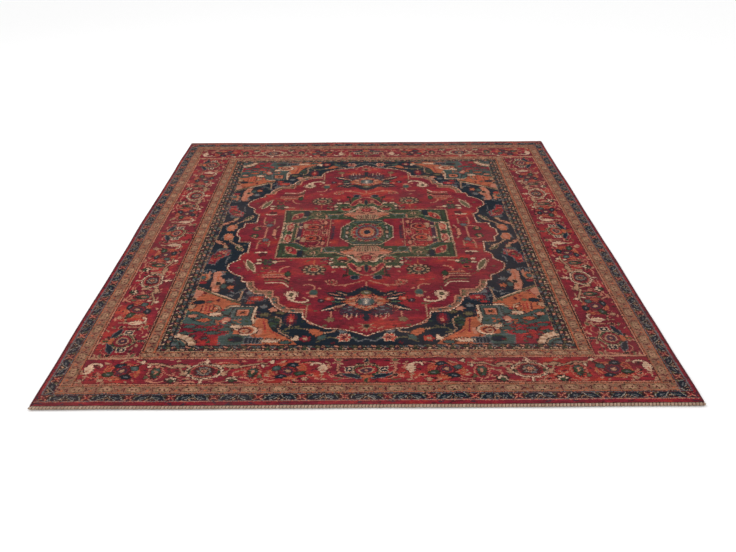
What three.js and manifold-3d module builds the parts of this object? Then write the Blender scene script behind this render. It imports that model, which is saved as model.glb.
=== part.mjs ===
// A hand-knotted area rug of 8 ft by 10 ft, lying flat on its foundation.
// Millimetres, +Z up, width along X, length along Y, origin on the floor under the rug's centre.
//
// The wool pile is knotted one tuft at a time, so it is grouped by the bands and panels of the design.
// Each group stands on the woven foundation. Both long edges end in an overcast selvedge cord, and both
// short ends in a rolled web under a whip-stitched binding.

import * as THREE from "three";
import { mergeVertices } from "three/addons/utils/BufferGeometryUtils.js";
import Module from "manifold-3d";

// Driving dimensions
const RUG_WIDTH = 2438;
const RUG_LENGTH = 3048;
const RUG_HEIGHT = 8;
const FOUNDATION_HEIGHT = 2.4;
const GAP = 0.3; // between neighbouring pieces

// Selvedge on the long edges, and the rolled end on the short ones
const SELVEDGE_WIDTH = 9;
const SELVEDGE_HEIGHT = 7.2;
const END_ROLL_WIDTH = 15;
const END_ROLL_HEIGHT = RUG_HEIGHT;
const YARN_WRAP = 1.6; // thickness of the yarn wound round a cord or roll
const EDGE_ROUNDING = 2.8;

// The frames round the field, from the outside in, with their width along the sides and the ends
const BANDS = [
  { name: "outer_band", side: 12, end: 25, material: "dark_red" },
  { name: "outer_guard", side: 42, end: 45, material: "navy" },
  { name: "outer_tan_border", side: 55, end: 58, material: "camel" },
  { name: "main_border", side: 204, end: 182, material: "red" },
  { name: "inner_tan_border", side: 55, end: 47, material: "camel" },
  { name: "inner_guard", side: 50, end: 46, material: "navy" },
];

// A quarter of each outline in the field, as corners from the side towards the end of the rug.
// The third number is how far the stretch to the next corner swells away from the field's centre.
const MEDALLION_QUARTER = [
  [682, 0, 4],
  [680, 42, 0],
  [662, 62, 0],
  [658, 118, 0],
  [598, 121, 0],
  [590, 242, 0],
  [606, 248, 0],
  [621, 270, 4],
  [622, 322, 0],
  [664, 364, 4],
  [666, 420, 8],
  [604, 494, 0],
  [590, 498, 0],
  [586, 548, 0],
  [562, 556, 12],
  [508, 670, 0],
  [462, 674, 0],
  [456, 706, 0],
  [436, 712, 14],
  [356, 838, 0],
  [276, 846, 0],
  [270, 892, 8],
  [168, 978, 0],
  [126, 980, -8],
  [0, 1042, 0],
];
const CORNER_PIECE_EDGE = [
  [792, 585, 0],
  [560, 745, 0],
  [556, 786, 0],
  [480, 786, 0],
  [476, 886, 0],
  [425, 898, 6],
  [392, 996, 0],
  [300, 1076, 0],
  [282, 1106, 0],
];
const LOBE_STEPS = 5; // straight facets in one swelling stretch

const COLOURS = {
  dark_red: 0x5e1418,
  navy: 0x1b2733,
  camel: 0x9a7350,
  red: 0x8c1f22,
  rust: 0xa34f33,
  cotton: 0xbfae90,
  tan_yarn: 0xa58a68,
};
const WOOL_ROUGHNESS = 0.95;

const rug = new THREE.Group();
const wasm = await Module();
wasm.setup();

function woolMaterial(colour) {
  return new THREE.MeshStandardMaterial({ color: COLOURS[colour], roughness: WOOL_ROUGHNESS, metalness: 0 });
}

function addPiece(name, geometry, colour) {
  const piece = new THREE.Mesh(geometry, woolMaterial(colour));
  piece.name = name;
  rug.add(piece);
  return piece;
}

// A block between two corners, standing on `bottom`
function addSlab(name, colour, [x0, x1], [y0, y1], bottom, top) {
  const block = new THREE.BoxGeometry(x1 - x0, y1 - y0, top - bottom);
  const piece = addPiece(name, block, colour);
  piece.position.set((x0 + x1) / 2, (y0 + y1) / 2, (bottom + top) / 2);
}

const PILE_BOTTOM = FOUNDATION_HEIGHT + GAP;

function addPileSlab(name, colour, xRange, yRange) {
  addSlab(name, colour, xRange, yRange, PILE_BOTTOM, RUG_HEIGHT);
}

// ---- Outlines of the field's panels ----

// Points from one corner up to, but not including, the next, swollen sideways as a parabola
function stretchPoints([x0, y0, swell], [x1, y1]) {
  if (swell === 0) return [new THREE.Vector2(x0, y0)];
  const along = new THREE.Vector2(x1 - x0, y1 - y0);
  const outward = new THREE.Vector2(along.y, -along.x).normalize();
  const points = [];
  for (let step = 0; step < LOBE_STEPS; step++) {
    const t = step / LOBE_STEPS;
    const point = new THREE.Vector2(x0, y0).addScaledVector(along, t);
    points.push(point.addScaledVector(outward, swell * 4 * t * (1 - t)));
  }
  return points;
}

function quarterPoints(corners) {
  const points = corners.slice(0, -1).flatMap((corner, i) => stretchPoints(corner, corners[i + 1]));
  const [lastX, lastY] = corners[corners.length - 1];
  points.push(new THREE.Vector2(lastX, lastY));
  return points;
}

// The medallion repeats its quarter on both sides of both centre lines
function medallionOutline() {
  const quarter = quarterPoints(MEDALLION_QUARTER);
  const mirrored = (signX, signY) => quarter.map((p) => new THREE.Vector2(p.x * signX, p.y * signY));
  const sides = [
    mirrored(1, 1).slice(0, -1),
    mirrored(-1, 1).reverse().slice(0, -1),
    mirrored(-1, -1).slice(0, -1),
    mirrored(1, -1).reverse().slice(0, -1),
  ];
  return sides.flat();
}

function cornerOutline(signX, signY, field) {
  const quarter = quarterPoints(CORNER_PIECE_EDGE);
  quarter.push(new THREE.Vector2(field.halfWidth, field.halfLength));
  const points = quarter.map((p) => new THREE.Vector2(p.x * signX, p.y * signY));
  return THREE.ShapeUtils.isClockWise(points) ? points.reverse() : points;
}

// The same outline moved outwards by `distance`, for an anticlockwise list of points
function grown(points, distance) {
  return points.map((point, i) => {
    const before = points[(i + points.length - 1) % points.length];
    const after = points[(i + 1) % points.length];
    const edgeIn = point.clone().sub(before).normalize();
    const edgeOut = after.clone().sub(point).normalize();
    const normalIn = new THREE.Vector2(edgeIn.y, -edgeIn.x);
    const normalOut = new THREE.Vector2(edgeOut.y, -edgeOut.x);
    const bisector = normalIn.clone().add(normalOut).normalize();
    return point.clone().addScaledVector(bisector, distance / bisector.dot(normalIn));
  });
}

function extrudeOutline(points, bottom, top) {
  const settings = { depth: top - bottom, bevelEnabled: false };
  return new THREE.ExtrudeGeometry(new THREE.Shape(points), settings).translate(0, 0, bottom);
}

// ---- Cutting with manifold-3d ----

function toSolid(geometry) {
  const bare = geometry.clone().deleteAttribute("normal").deleteAttribute("uv");
  const merged = mergeVertices(bare);
  const vertProperties = new Float32Array(merged.attributes.position.array);
  const triVerts = new Uint32Array(merged.index.array);
  return new wasm.Manifold(new wasm.Mesh({ numProp: 3, vertProperties, triVerts }));
}

function toGeometry(solid) {
  const mesh = solid.getMesh();
  const geometry = new THREE.BufferGeometry();
  geometry.setAttribute("position", new THREE.BufferAttribute(mesh.vertProperties, 3));
  geometry.setIndex(new THREE.BufferAttribute(mesh.triVerts, 1));
  geometry.computeVertexNormals();
  return geometry;
}

// ---- Field ----

function addField(field) {
  const medallion = medallionOutline();
  addPiece("medallion", extrudeOutline(medallion, PILE_BOTTOM, RUG_HEIGHT), "red");

  const groundBlock = new THREE.BoxGeometry(2 * field.halfWidth, 2 * field.halfLength, RUG_HEIGHT - PILE_BOTTOM);
  groundBlock.translate(0, 0, (RUG_HEIGHT + PILE_BOTTOM) / 2);
  const cutTop = RUG_HEIGHT + 1;
  const cutBottom = PILE_BOTTOM - 1;
  let ground = toSolid(groundBlock).subtract(toSolid(extrudeOutline(grown(medallion, GAP), cutBottom, cutTop)));

  for (const [endName, signY] of [["near", -1], ["far", 1]]) {
    for (const [sideName, signX] of [["left", -1], ["right", 1]]) {
      const outline = cornerOutline(signX, signY, field);
      const name = `corner_piece_${endName}_${sideName}`;
      addPiece(name, extrudeOutline(outline, PILE_BOTTOM, RUG_HEIGHT), "rust");
      ground = ground.subtract(toSolid(extrudeOutline(grown(outline, GAP), cutBottom, cutTop)));
    }
  }
  addPiece("field_ground", toGeometry(ground), "navy");
}

// ---- Borders ----

// A frame of four strips inside the given half sizes; the end strips run its full width
function addBand(band, outer) {
  const inner = { halfWidth: outer.halfWidth - band.side, halfLength: outer.halfLength - band.end };
  const endX = [GAP - outer.halfWidth, outer.halfWidth - GAP];
  const endY = [inner.halfLength + GAP, outer.halfLength];
  const sideX = [inner.halfWidth + GAP, outer.halfWidth - GAP];
  const sideY = [-inner.halfLength, inner.halfLength];
  const mirror = ([low, high]) => [-high, -low];
  addPileSlab(`${band.name}_near`, band.material, endX, mirror(endY));
  addPileSlab(`${band.name}_far`, band.material, endX, endY);
  addPileSlab(`${band.name}_left`, band.material, mirror(sideX), sideY);
  addPileSlab(`${band.name}_right`, band.material, sideX, sideY);
  return inner;
}

// ---- Edges ----

// A rounded section standing on the floor line, centred on x = 0
function roundedSection(width, height, rounding, bottom = 0) {
  const half = width / 2;
  const top = bottom + height;
  const section = new THREE.Shape();
  section.moveTo(rounding - half, bottom);
  section.absarc(half - rounding, bottom + rounding, rounding, -Math.PI / 2, 0);
  section.absarc(half - rounding, top - rounding, rounding, 0, Math.PI / 2);
  section.absarc(rounding - half, top - rounding, rounding, Math.PI / 2, Math.PI);
  section.absarc(rounding - half, bottom + rounding, rounding, Math.PI, Math.PI * 1.5);
  return section;
}

// The section swept along Y through the origin, or along X when `crosswise`
function sweepSection(section, length, crosswise) {
  const settings = { depth: length, bevelEnabled: false, curveSegments: 4 };
  const geometry = new THREE.ExtrudeGeometry(section, settings).translate(0, 0, -length / 2);
  geometry.rotateX(Math.PI / 2);
  return crosswise ? geometry.rotateZ(Math.PI / 2) : geometry;
}

// A core inside a wound sleeve of yarn, both open at the ends
function addWrappedCore(names, colours, size, length, crosswise, position) {
  const wrapped = roundedSection(size.width, size.height, EDGE_ROUNDING);
  const hollow = 2 * YARN_WRAP;
  const innerRounding = EDGE_ROUNDING - YARN_WRAP;
  wrapped.holes.push(roundedSection(size.width - hollow, size.height - hollow, innerRounding, YARN_WRAP));
  const coreInset = YARN_WRAP + GAP;
  const coreWidth = size.width - 2 * coreInset;
  const coreHeight = size.height - 2 * coreInset;
  const core = roundedSection(coreWidth, coreHeight, innerRounding - GAP, coreInset);
  addPiece(names.wrap, sweepSection(wrapped, length, crosswise), colours.wrap).position.copy(position);
  addPiece(names.core, sweepSection(core, length, crosswise), colours.core).position.copy(position);
}

function addSelvedges() {
  const length = RUG_LENGTH - 2 * (END_ROLL_WIDTH + GAP);
  const size = { width: SELVEDGE_WIDTH, height: SELVEDGE_HEIGHT };
  const colours = { wrap: "dark_red", core: "cotton" };
  for (const [sideName, signX] of [["left", -1], ["right", 1]]) {
    const names = { wrap: `${sideName}_overcasting`, core: `${sideName}_selvedge_cord` };
    const position = new THREE.Vector3((signX * (RUG_WIDTH - SELVEDGE_WIDTH)) / 2, 0, 0);
    addWrappedCore(names, colours, size, length, false, position);
  }
}

function addEnds() {
  const size = { width: END_ROLL_WIDTH, height: END_ROLL_HEIGHT };
  const colours = { wrap: "tan_yarn", core: "cotton" };
  for (const [endName, signY] of [["near", -1], ["far", 1]]) {
    const names = { wrap: `${endName}_end_binding`, core: `${endName}_end_roll` };
    const position = new THREE.Vector3(0, (signY * (RUG_LENGTH - END_ROLL_WIDTH)) / 2, 0);
    addWrappedCore(names, colours, size, RUG_WIDTH, true, position);
  }
}

// ---- The whole rug ----

const ground = {
  halfWidth: RUG_WIDTH / 2 - SELVEDGE_WIDTH,
  halfLength: RUG_LENGTH / 2 - END_ROLL_WIDTH,
};
const foundationX = [GAP - ground.halfWidth, ground.halfWidth - GAP];
const foundationY = [GAP - ground.halfLength, ground.halfLength - GAP];
addSlab("foundation", "cotton", foundationX, foundationY, 0, FOUNDATION_HEIGHT);

let frame = { halfWidth: ground.halfWidth, halfLength: ground.halfLength - GAP };
for (const band of BANDS) {
  frame = addBand(band, frame);
}
addField(frame);
addSelvedges();
addEnds();

export default rug;
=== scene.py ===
"""A hand-knotted area rug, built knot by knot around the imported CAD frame.

The design is charted the way a weaver charts it: one yarn for each knot, laid shape over shape in
millimetres of the rug. Each CAD pile node is replaced by the sheet of knots that lies in it, and the
edges by wound yarn. Everything then settles together onto the floor with the same slight waves.
"""

import math

import bpy
import numpy as np
from mathutils import Matrix, Vector


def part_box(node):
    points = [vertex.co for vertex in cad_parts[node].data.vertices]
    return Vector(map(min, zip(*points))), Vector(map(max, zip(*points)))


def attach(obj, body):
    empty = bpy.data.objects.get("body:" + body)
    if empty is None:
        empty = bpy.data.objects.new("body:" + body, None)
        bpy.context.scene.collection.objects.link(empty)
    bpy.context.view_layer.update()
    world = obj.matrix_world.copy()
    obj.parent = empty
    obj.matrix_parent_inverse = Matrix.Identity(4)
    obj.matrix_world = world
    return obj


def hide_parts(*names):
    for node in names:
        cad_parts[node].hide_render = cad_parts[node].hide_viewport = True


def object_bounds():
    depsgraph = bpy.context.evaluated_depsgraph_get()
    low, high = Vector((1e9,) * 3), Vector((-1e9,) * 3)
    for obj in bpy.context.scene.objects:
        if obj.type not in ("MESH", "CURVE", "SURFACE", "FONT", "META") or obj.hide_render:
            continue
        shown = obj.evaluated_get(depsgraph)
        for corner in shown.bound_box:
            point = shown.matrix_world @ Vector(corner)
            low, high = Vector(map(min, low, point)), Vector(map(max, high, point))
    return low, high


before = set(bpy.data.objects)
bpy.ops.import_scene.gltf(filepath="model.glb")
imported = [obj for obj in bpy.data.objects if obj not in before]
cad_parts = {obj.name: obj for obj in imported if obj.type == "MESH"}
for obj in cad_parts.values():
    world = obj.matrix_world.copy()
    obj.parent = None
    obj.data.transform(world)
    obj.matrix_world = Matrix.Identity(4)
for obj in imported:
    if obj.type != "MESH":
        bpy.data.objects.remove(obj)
cad_low, cad_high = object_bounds()

MM = 0.001
KNOT = 3.2  # knot spacing in millimetres
RANDOM = np.random.default_rng(8)


# ---- Sizes read from the frame, in millimetres ----

def box_mm(node):
    """The node's lowest and highest corners."""
    low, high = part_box(node)
    return [c / MM for c in low], [c / MM for c in high]


BANDS = (
    "outer_band",
    "outer_guard",
    "outer_tan_border",
    "main_border",
    "inner_tan_border",
    "inner_guard",
)
SIDES = ("near", "far", "left", "right")
CORNERS = ("near_left", "near_right", "far_left", "far_right")

RUG_HALF_WIDTH = cad_high.x / MM
RUG_HALF_LENGTH = cad_high.y / MM
PILE_TOP = cad_high.z / MM
PILE_HALF_WIDTH = box_mm("outer_band_right")[1][0]
PILE_HALF_LENGTH = box_mm("outer_band_far")[1][1]
FOUNDATION_TOP = box_mm("foundation")[1][2]


def band_outer(band):
    """Half width and half length of the band's outer edge."""
    high = box_mm(f"{band}_far")[1]
    return high[0], high[1]


def field_size():
    """Half width and half length of the field inside all the bands."""
    high = box_mm("field_ground")[1]
    return high[0], high[1]


# ---- Yarns ----

YARNS = {
    "wine": (72, 18, 26),
    "claret": (98, 20, 34),
    "crimson": (111, 23, 35),
    "madder": (124, 30, 35),
    "scarlet": (138, 40, 34),
    "brick": (150, 54, 38),
    "navy": (14, 24, 34),
    "camel": (124, 84, 66),
    "ivory": (176, 142, 118),
    "rust": (148, 76, 50),
    "teal": (52, 66, 62),
    "green": (40, 52, 34),
    "salmon": (156, 98, 78),
    "umber": (36, 22, 20),
    "aubergine": (56, 30, 42),
    "slate": (86, 84, 84),
    "stone": (128, 118, 108),
    "tan": (146, 108, 84),
    "olive": (82, 72, 50),
    "cream": (206, 180, 156),
    "sage": (84, 98, 68),
    "bronze": (106, 82, 58),
}
YARN_NUMBER = {name: number for number, name in enumerate(YARNS)}
STRAY_SHARE = 0.35  # share of knots that take a neighbour's yarn
RED_LOTS = [YARN_NUMBER[name] for name in ("claret", "crimson", "madder", "scarlet", "brick")]


# ---- Charting: shapes laid on the knots ----

def smooth(points, closed=False, steps=6):
    """A smooth line through the points, as a Catmull-Rom curve."""
    p = np.array(points, float)
    if closed:
        p = np.vstack([p[-1], p, p[:2]])
    else:
        p = np.vstack([2 * p[0] - p[1], p, 2 * p[-1] - p[-2]])
    t = np.linspace(0, 1, steps, endpoint=False)[:, None]
    line = []
    for a, b, c, d in zip(p[:-3], p[1:-2], p[2:-1], p[3:]):
        square = 2 * a - 5 * b + 4 * c - d
        cube = 3 * b - a - 3 * c + d
        line.append(0.5 * (2 * b + (c - a) * t + square * t**2 + cube * t**3))
    if not closed:
        line.append(p[-2][None])
    return np.vstack(line)


def zigzag(value, period):
    """A saw-toothed wave of -1 to 1."""
    return 4 * abs(value / period % 1 - 0.5) - 1


class Chart:
    """Some of the rug's knots, with their places in a motif's own coordinates."""

    def __init__(self, x, y, yarn, knots, teeth=0.0):
        self.x, self.y, self.yarn, self.knots = x, y, yarn, knots
        self.teeth = teeth  # how far every outline is jagged by the knots, in millimetres

    def part(self, keep):
        """The knots where keep is true."""
        return Chart(self.x[keep], self.y[keep], self.yarn, self.knots[keep], self.teeth)

    def at(self, cx, cy, reach, turn=0.0, mirror=False, flip=False):
        """The knots within reach of a centre, in coordinates turned by `turn` degrees about it.

        mirror draws the right half of a motif on both sides, and flip swaps left and right.
        """
        near = self.part((abs(self.x - cx) < reach) & (abs(self.y - cy) < reach))
        dx, dy = near.x - cx, near.y - cy
        c, s = math.cos(math.radians(turn)), math.sin(math.radians(turn))
        near.x, near.y = c * dx + s * dy, c * dy - s * dx
        if mirror:
            near.x = abs(near.x)
        if flip:
            near.x = -near.x
        return near

    def cover(self, yarn):
        """Knots every place in one yarn."""
        self.yarn[self.knots] = YARN_NUMBER[yarn]

    def fill(self, distance, yarn, edge=None, edge_width=4.0, teeth=0.0):
        """Knots the inside of a shape, with an edge round it or a toothed outline if asked."""
        teeth = max(teeth, self.teeth)
        if teeth:
            distance = distance + teeth * (zigzag(self.x, 4 * KNOT) + zigzag(self.y, 4.6 * KNOT)) / 2
        if edge:
            self.yarn[self.knots[distance < edge_width]] = YARN_NUMBER[edge]
        self.yarn[self.knots[distance < 0]] = YARN_NUMBER[yarn]

    # Each shape below is the distance of every knot to its outline, negative inside

    def oval(self, cx, cy, rx, ry=None):
        """An oval, or a circle if it has one radius."""
        ry = ry or rx
        return (np.hypot((self.x - cx) / rx, (self.y - cy) / ry) - 1) * min(rx, ry)

    def block(self, cx, cy, hx, hy):
        """A rectangle of the given half width and half height."""
        return np.maximum(abs(self.x - cx) - hx, abs(self.y - cy) - hy)

    def diamond(self, cx, cy, rx, ry):
        """A square on its point."""
        return (abs(self.x - cx) / rx + abs(self.y - cy) / ry - 1) * min(rx, ry)

    def petals(self, cx, cy, radius, count, depth=0.25, turn=0.0):
        """A rosette whose edge swells count times."""
        angle = np.arctan2(self.y - cy, self.x - cx) + math.radians(turn)
        edge = radius * (1 - depth + depth * abs(np.cos(count * angle / 2)) * 2 - depth)
        return np.hypot(self.x - cx, self.y - cy) - edge

    def spokes(self, cx, cy, radius, count):
        """Rays running out from a centre."""
        angle = np.arctan2(self.y - cy, self.x - cx)
        between_rays = 6 * np.sin(count * angle)
        return np.maximum(np.hypot(self.x - cx, self.y - cy) - radius, between_rays)

    def line(self, points, width):
        """A stroke of the given width along the points."""
        nearest = np.full(len(self.x), 1e9)
        for (ax, ay), (bx, by) in zip(points[:-1], points[1:]):
            ux, uy = bx - ax, by - ay
            length = ux * ux + uy * uy or 1e-9
            t = np.clip(((self.x - ax) * ux + (self.y - ay) * uy) / length, 0, 1)
            nearest = np.minimum(nearest, (self.x - ax - t * ux) ** 2 + (self.y - ay - t * uy) ** 2)
        return np.sqrt(nearest) - width / 2

    def curve(self, points, width):
        """A stroke of the given width along a smooth curve through the points."""
        return self.line(smooth(points), width)

    def outline(self, points):
        """The inside of a closed outline."""
        inside = np.zeros(len(self.x), bool)
        ring = np.vstack([points, points[:1]])
        for (ax, ay), (bx, by) in zip(ring[:-1], ring[1:]):
            crosses = (ay > self.y) != (by > self.y)
            inside ^= crosses & (self.x < (bx - ax) * (self.y - ay) / ((by - ay) or 1e-9) + ax)
        away = self.line(ring, 0)
        return np.where(inside, -away, away)

    def blob(self, points):
        """The inside of a smooth closed curve through the points."""
        return self.outline(smooth(points, closed=True))

    def leaf(self, start, end, width, bend=0.0):
        """A pointed leaf from start to end, bent sideways by `bend`."""
        ux, uy = end[0] - start[0], end[1] - start[1]
        length = math.hypot(ux, uy)
        along = ((self.x - start[0]) * ux + (self.y - start[1]) * uy) / length**2
        across = ((self.y - start[1]) * ux - (self.x - start[0]) * uy) / length
        body = 4 * np.clip(along, 0, 1) * (1 - np.clip(along, 0, 1))
        beyond = np.maximum(-along, along - 1) * length
        return np.maximum(abs(across - bend * body) - width / 2 * body, beyond)


def scatter_sprigs(chart, count, seed, yarns):
    """Small leaves and twigs scattered over a ground, each a few knots long."""
    random = np.random.default_rng(seed)
    reach = 26  # takes in the longest sprig
    low = (chart.x.min(), chart.y.min())
    high = (chart.x.max(), chart.y.max())
    for _ in range(count):
        x = random.uniform(low[0], high[0])
        y = random.uniform(low[1], high[1])
        spot = chart.at(x, y, reach, turn=random.uniform(-50, 50))
        half_length = random.uniform(8, 20)
        width = random.uniform(6, 13)
        bend = random.uniform(-5, 5)
        sprig = spot.leaf((-half_length, 0), (half_length, 0), width, bend)
        spot.fill(sprig, yarns[random.integers(len(yarns))])


# ---- Outlines of the field's panels, as in the CAD source ----

# A quarter of each outline: x, y and how far the stretch to the next corner swells outwards
MEDALLION_QUARTER = [
    (682, 0, 4),
    (680, 42, 0),
    (662, 62, 0),
    (658, 118, 0),
    (598, 121, 0),
    (590, 242, 0),
    (606, 248, 0),
    (621, 270, 4),
    (622, 322, 0),
    (664, 364, 4),
    (666, 420, 8),
    (604, 494, 0),
    (590, 498, 0),
    (586, 548, 0),
    (562, 556, 12),
    (508, 670, 0),
    (462, 674, 0),
    (456, 706, 0),
    (436, 712, 14),
    (356, 838, 0),
    (276, 846, 0),
    (270, 892, 8),
    (168, 978, 0),
    (126, 980, -8),
    (0, 1042, 0),
]
CORNER_PIECE_EDGE = [
    (792, 585, 0),
    (560, 745, 0),
    (556, 786, 0),
    (480, 786, 0),
    (476, 886, 0),
    (425, 898, 6),
    (392, 996, 0),
    (300, 1076, 0),
    (282, 1106, 0),
]
# How each quarter outline is closed: round the middle, and round the field's corner
MEDALLION_CLOSING = [(-1, 1042), (-1, -1), (682, -1)]
CORNER_PIECE_CLOSING = [(270, 1120), (810, 1120), (810, 585)]
LOBE_STEPS = 5


def quarter_points(corners):
    """The corners with each swelling stretch drawn as a parabola."""
    points = []
    for (x0, y0, swell), (x1, y1, _) in zip(corners[:-1], corners[1:]):
        steps = LOBE_STEPS if swell else 1
        length = math.hypot(x1 - x0, y1 - y0)
        for step in range(steps):
            t = step / steps
            out = swell * 4 * t * (1 - t) / length
            x = x0 + (x1 - x0) * t + (y1 - y0) * out
            y = y0 + (y1 - y0) * t - (x1 - x0) * out
            points.append((x, y))
    points.append(corners[-1][:2])
    return np.array(points)


# ---- Field motifs, all on one quarter that mirrors across both centre lines ----

MEDALLION_BAND_INNER = [
    (574, 552),
    (532, 553),
    (526, 600),
    (500, 637),
    (457, 641),
    (430, 643),
    (426, 698),
    (399, 703),
    (392, 762),
    (346, 808),
    (274, 816),
]
MEDALLION_BAND_ROSETTES = [
    (546, 575),
    (540, 618),
    (508, 650),
    (444, 662),
    (440, 690),
    (418, 724),
    (412, 752),
    (366, 800),
    (320, 828),
]


def chart_medallion_edge(q):
    """The pale double line that follows the medallion, and the stepped band along its lower lobes."""
    lobes_start, lobes_end = 548, 850
    outline = quarter_points(MEDALLION_QUARTER)
    from_outline = q.line(outline, 0)
    q.fill(from_outline - 6, "umber")
    lobes = outline[(outline[:, 1] >= lobes_start) & (outline[:, 1] < lobes_end)]
    band = q.outline(np.vstack([lobes, MEDALLION_BAND_INNER[::-1]]))
    q.fill(band, "camel")
    inner = q.part(band < 6)
    inner.fill(inner.line(MEDALLION_BAND_INNER, 9), "salmon", edge="umber")
    for x, y in MEDALLION_BAND_ROSETTES:
        q.fill(q.petals(x, y, 11, 4, 0.2), "olive" if y % 4 else "teal")
    q.fill(from_outline - 3.2, "salmon")
    q.fill(from_outline - 0.8, "cream")
    q.fill(q.line([(260, 782), (260, 886)], 6), "tan")


def chart_center_octagon(q):
    """The green octagon with its rosette."""
    q = q.at(0, 0, 200)
    octagon = q.outline([(-200, -85), (135, -85), (135, 66), (72, 152), (-200, 152)])
    q.fill(octagon, "umber", edge="ivory")
    q.fill(octagon + 4, "green")
    scatter_sprigs(q.part(octagon < -8), 40, 53, ("sage", "teal", "umber"))
    q.fill(q.line([(118, -80), (118, 66), (62, 134), (-60, 134)], 4), "teal")
    q.fill(q.leaf((106, 30), (102, 78), 10), "stone", edge="umber", edge_width=5)
    q.fill(q.oval(104, 6, 7, 12), "tan", edge="umber")
    q.fill(q.oval(70, 112, 10, 8), "olive")
    q.fill(q.oval(98, 100, 6, 5), "tan")
    q.fill(q.oval(20, 134, 12, 6), "teal")
    q.fill(q.oval(0, 0, 84, 116), "tan", edge="umber", teeth=8)
    q.fill(q.oval(0, 0, 79, 111), "madder", teeth=7)
    for degrees in range(15, 360, 30):
        angle = math.radians(degrees)
        bead = q.oval(abs(72 * math.cos(angle)), 101 * math.sin(angle), 5, 7)
        q.fill(bead, "sage", edge="umber", edge_width=3)
    q.fill(q.spokes(0, 0, 78, 14), "salmon")
    q.fill(q.oval(0, 0, 61, 90), "slate", edge="wine", teeth=6)
    q.fill(q.oval(0, 0, 53, 80), "aubergine", teeth=4)
    q.fill(q.oval(0, 0, 47, 70), "madder", teeth=4)
    q.fill(q.oval(0, 0, 40, 58), "tan", edge="umber", teeth=6)
    q.fill(q.oval(0, 0, 33, 50), "rust", teeth=3)
    q.fill(q.oval(0, 0, 17, 28), "navy", edge="salmon")


def chart_pendant(q):
    """Palmette and stepped green pendant beyond the octagon."""
    q = q.at(0, 330, 300)
    q.fill(q.outline([(-200, -155), (205, -155), (205, -35), (168, -35), (168, 72), (-200, 72)]), "green")
    q.fill(q.outline([(-200, 60), (84, 60), (84, 165), (-200, 165)]), "green")
    for x, y, hx, hy in ((170, -8, 9, 11), (170, 36, 9, 14), (150, 76, 14, 8), (108, 76, 14, 8)):
        q.fill(q.block(x, y, hx, hy), "ivory", edge="umber")
    scatter_sprigs(q.at(90, 0, 130), 60, 54, ("sage", "olive", "umber", "teal", "tan"))
    q.fill(q.line([(154, -30), (154, 60), (90, 60), (90, 150)], 4), "olive")
    q.fill(q.line([(205, -84), (150, -84), (88, -38)], 7), "tan")
    q.fill(q.line([(205, -96), (152, -97), (100, -66)], 4), "slate")
    q.fill(q.oval(182, -124, 22, 26), "green", edge="slate")
    q.fill(q.petals(112, -8, 28, 6, 0.15), "madder", edge="tan")
    q.fill(q.oval(114, 14, 20, 15), "umber", edge="olive")
    q.fill(q.oval(114, 18, 6, 6), "ivory")
    q.fill(q.line([(64, -20), (96, 32)], 5), "tan")
    # heart-shaped red figure on the stem
    heart = q.blob([(0, 160), (56, 118), (86, 52), (70, 40), (38, 84), (0, 62)])
    q.fill(heart, "crimson", edge="salmon", edge_width=6)
    q.fill(q.curve([(8, 142), (40, 112), (66, 66)], 4), "umber")
    q.fill(q.leaf((0, 40), (0, 128), 18), "navy", edge="olive")
    q.fill(q.oval(34, 98, 12, 18), "salmon", edge="wine")
    q.fill(q.curve([(88, 70), (92, 120), (98, 166), (112, 180)], 8), "umber")
    q.fill(q.oval(54, 184, 18, 20), "navy", edge="slate", teeth=5)
    q.fill(q.oval(100, 164, 14, 14), "umber", teeth=4)
    # palmette
    wings = [(0, -160), (52, -158), (76, -128), (128, -96), (118, -74), (92, -60), (60, -58)]
    base = [(52, -20), (38, 20), (18, 4), (0, 26)]
    q.fill(q.outline(wings + base), "salmon", edge="umber", teeth=5)
    q.fill(q.outline([(0, -156), (46, -152), (64, -124), (52, -96), (0, -88)]), "tan", teeth=4)
    q.fill(q.leaf((58, -108), (120, -86), 22), "rust")
    q.fill(q.leaf((66, -100), (110, -84), 8), "salmon")
    for x, yarn in ((6, "umber"), (16, "olive"), (26, "wine"), (36, "umber"), (48, "olive")):
        q.fill(q.line([(x, -152), (1.3 * x, -98)], 5), yarn)
    q.fill(q.line([(62, -126), (112, -98)], 4), "umber")
    q.fill(q.line([(60, -76), (96, -72)], 4), "umber")
    stem = q.curve([(92, -52), (72, -28), (52, -8), (48, 14), (26, 20)], 10)
    q.fill(stem, "ivory", edge="umber", edge_width=3, teeth=6)
    q.fill(q.oval(0, -40, 46, 40), "salmon", edge="wine", teeth=5)
    q.fill(q.oval(24, -66, 13, 7), "umber")
    q.fill(q.oval(38, -34, 6, 10), "bronze")
    q.fill(q.oval(0, -26, 26, 28), "brick", edge="umber")
    q.fill(q.oval(0, -22, 9, 14), "madder", edge="salmon")


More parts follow.
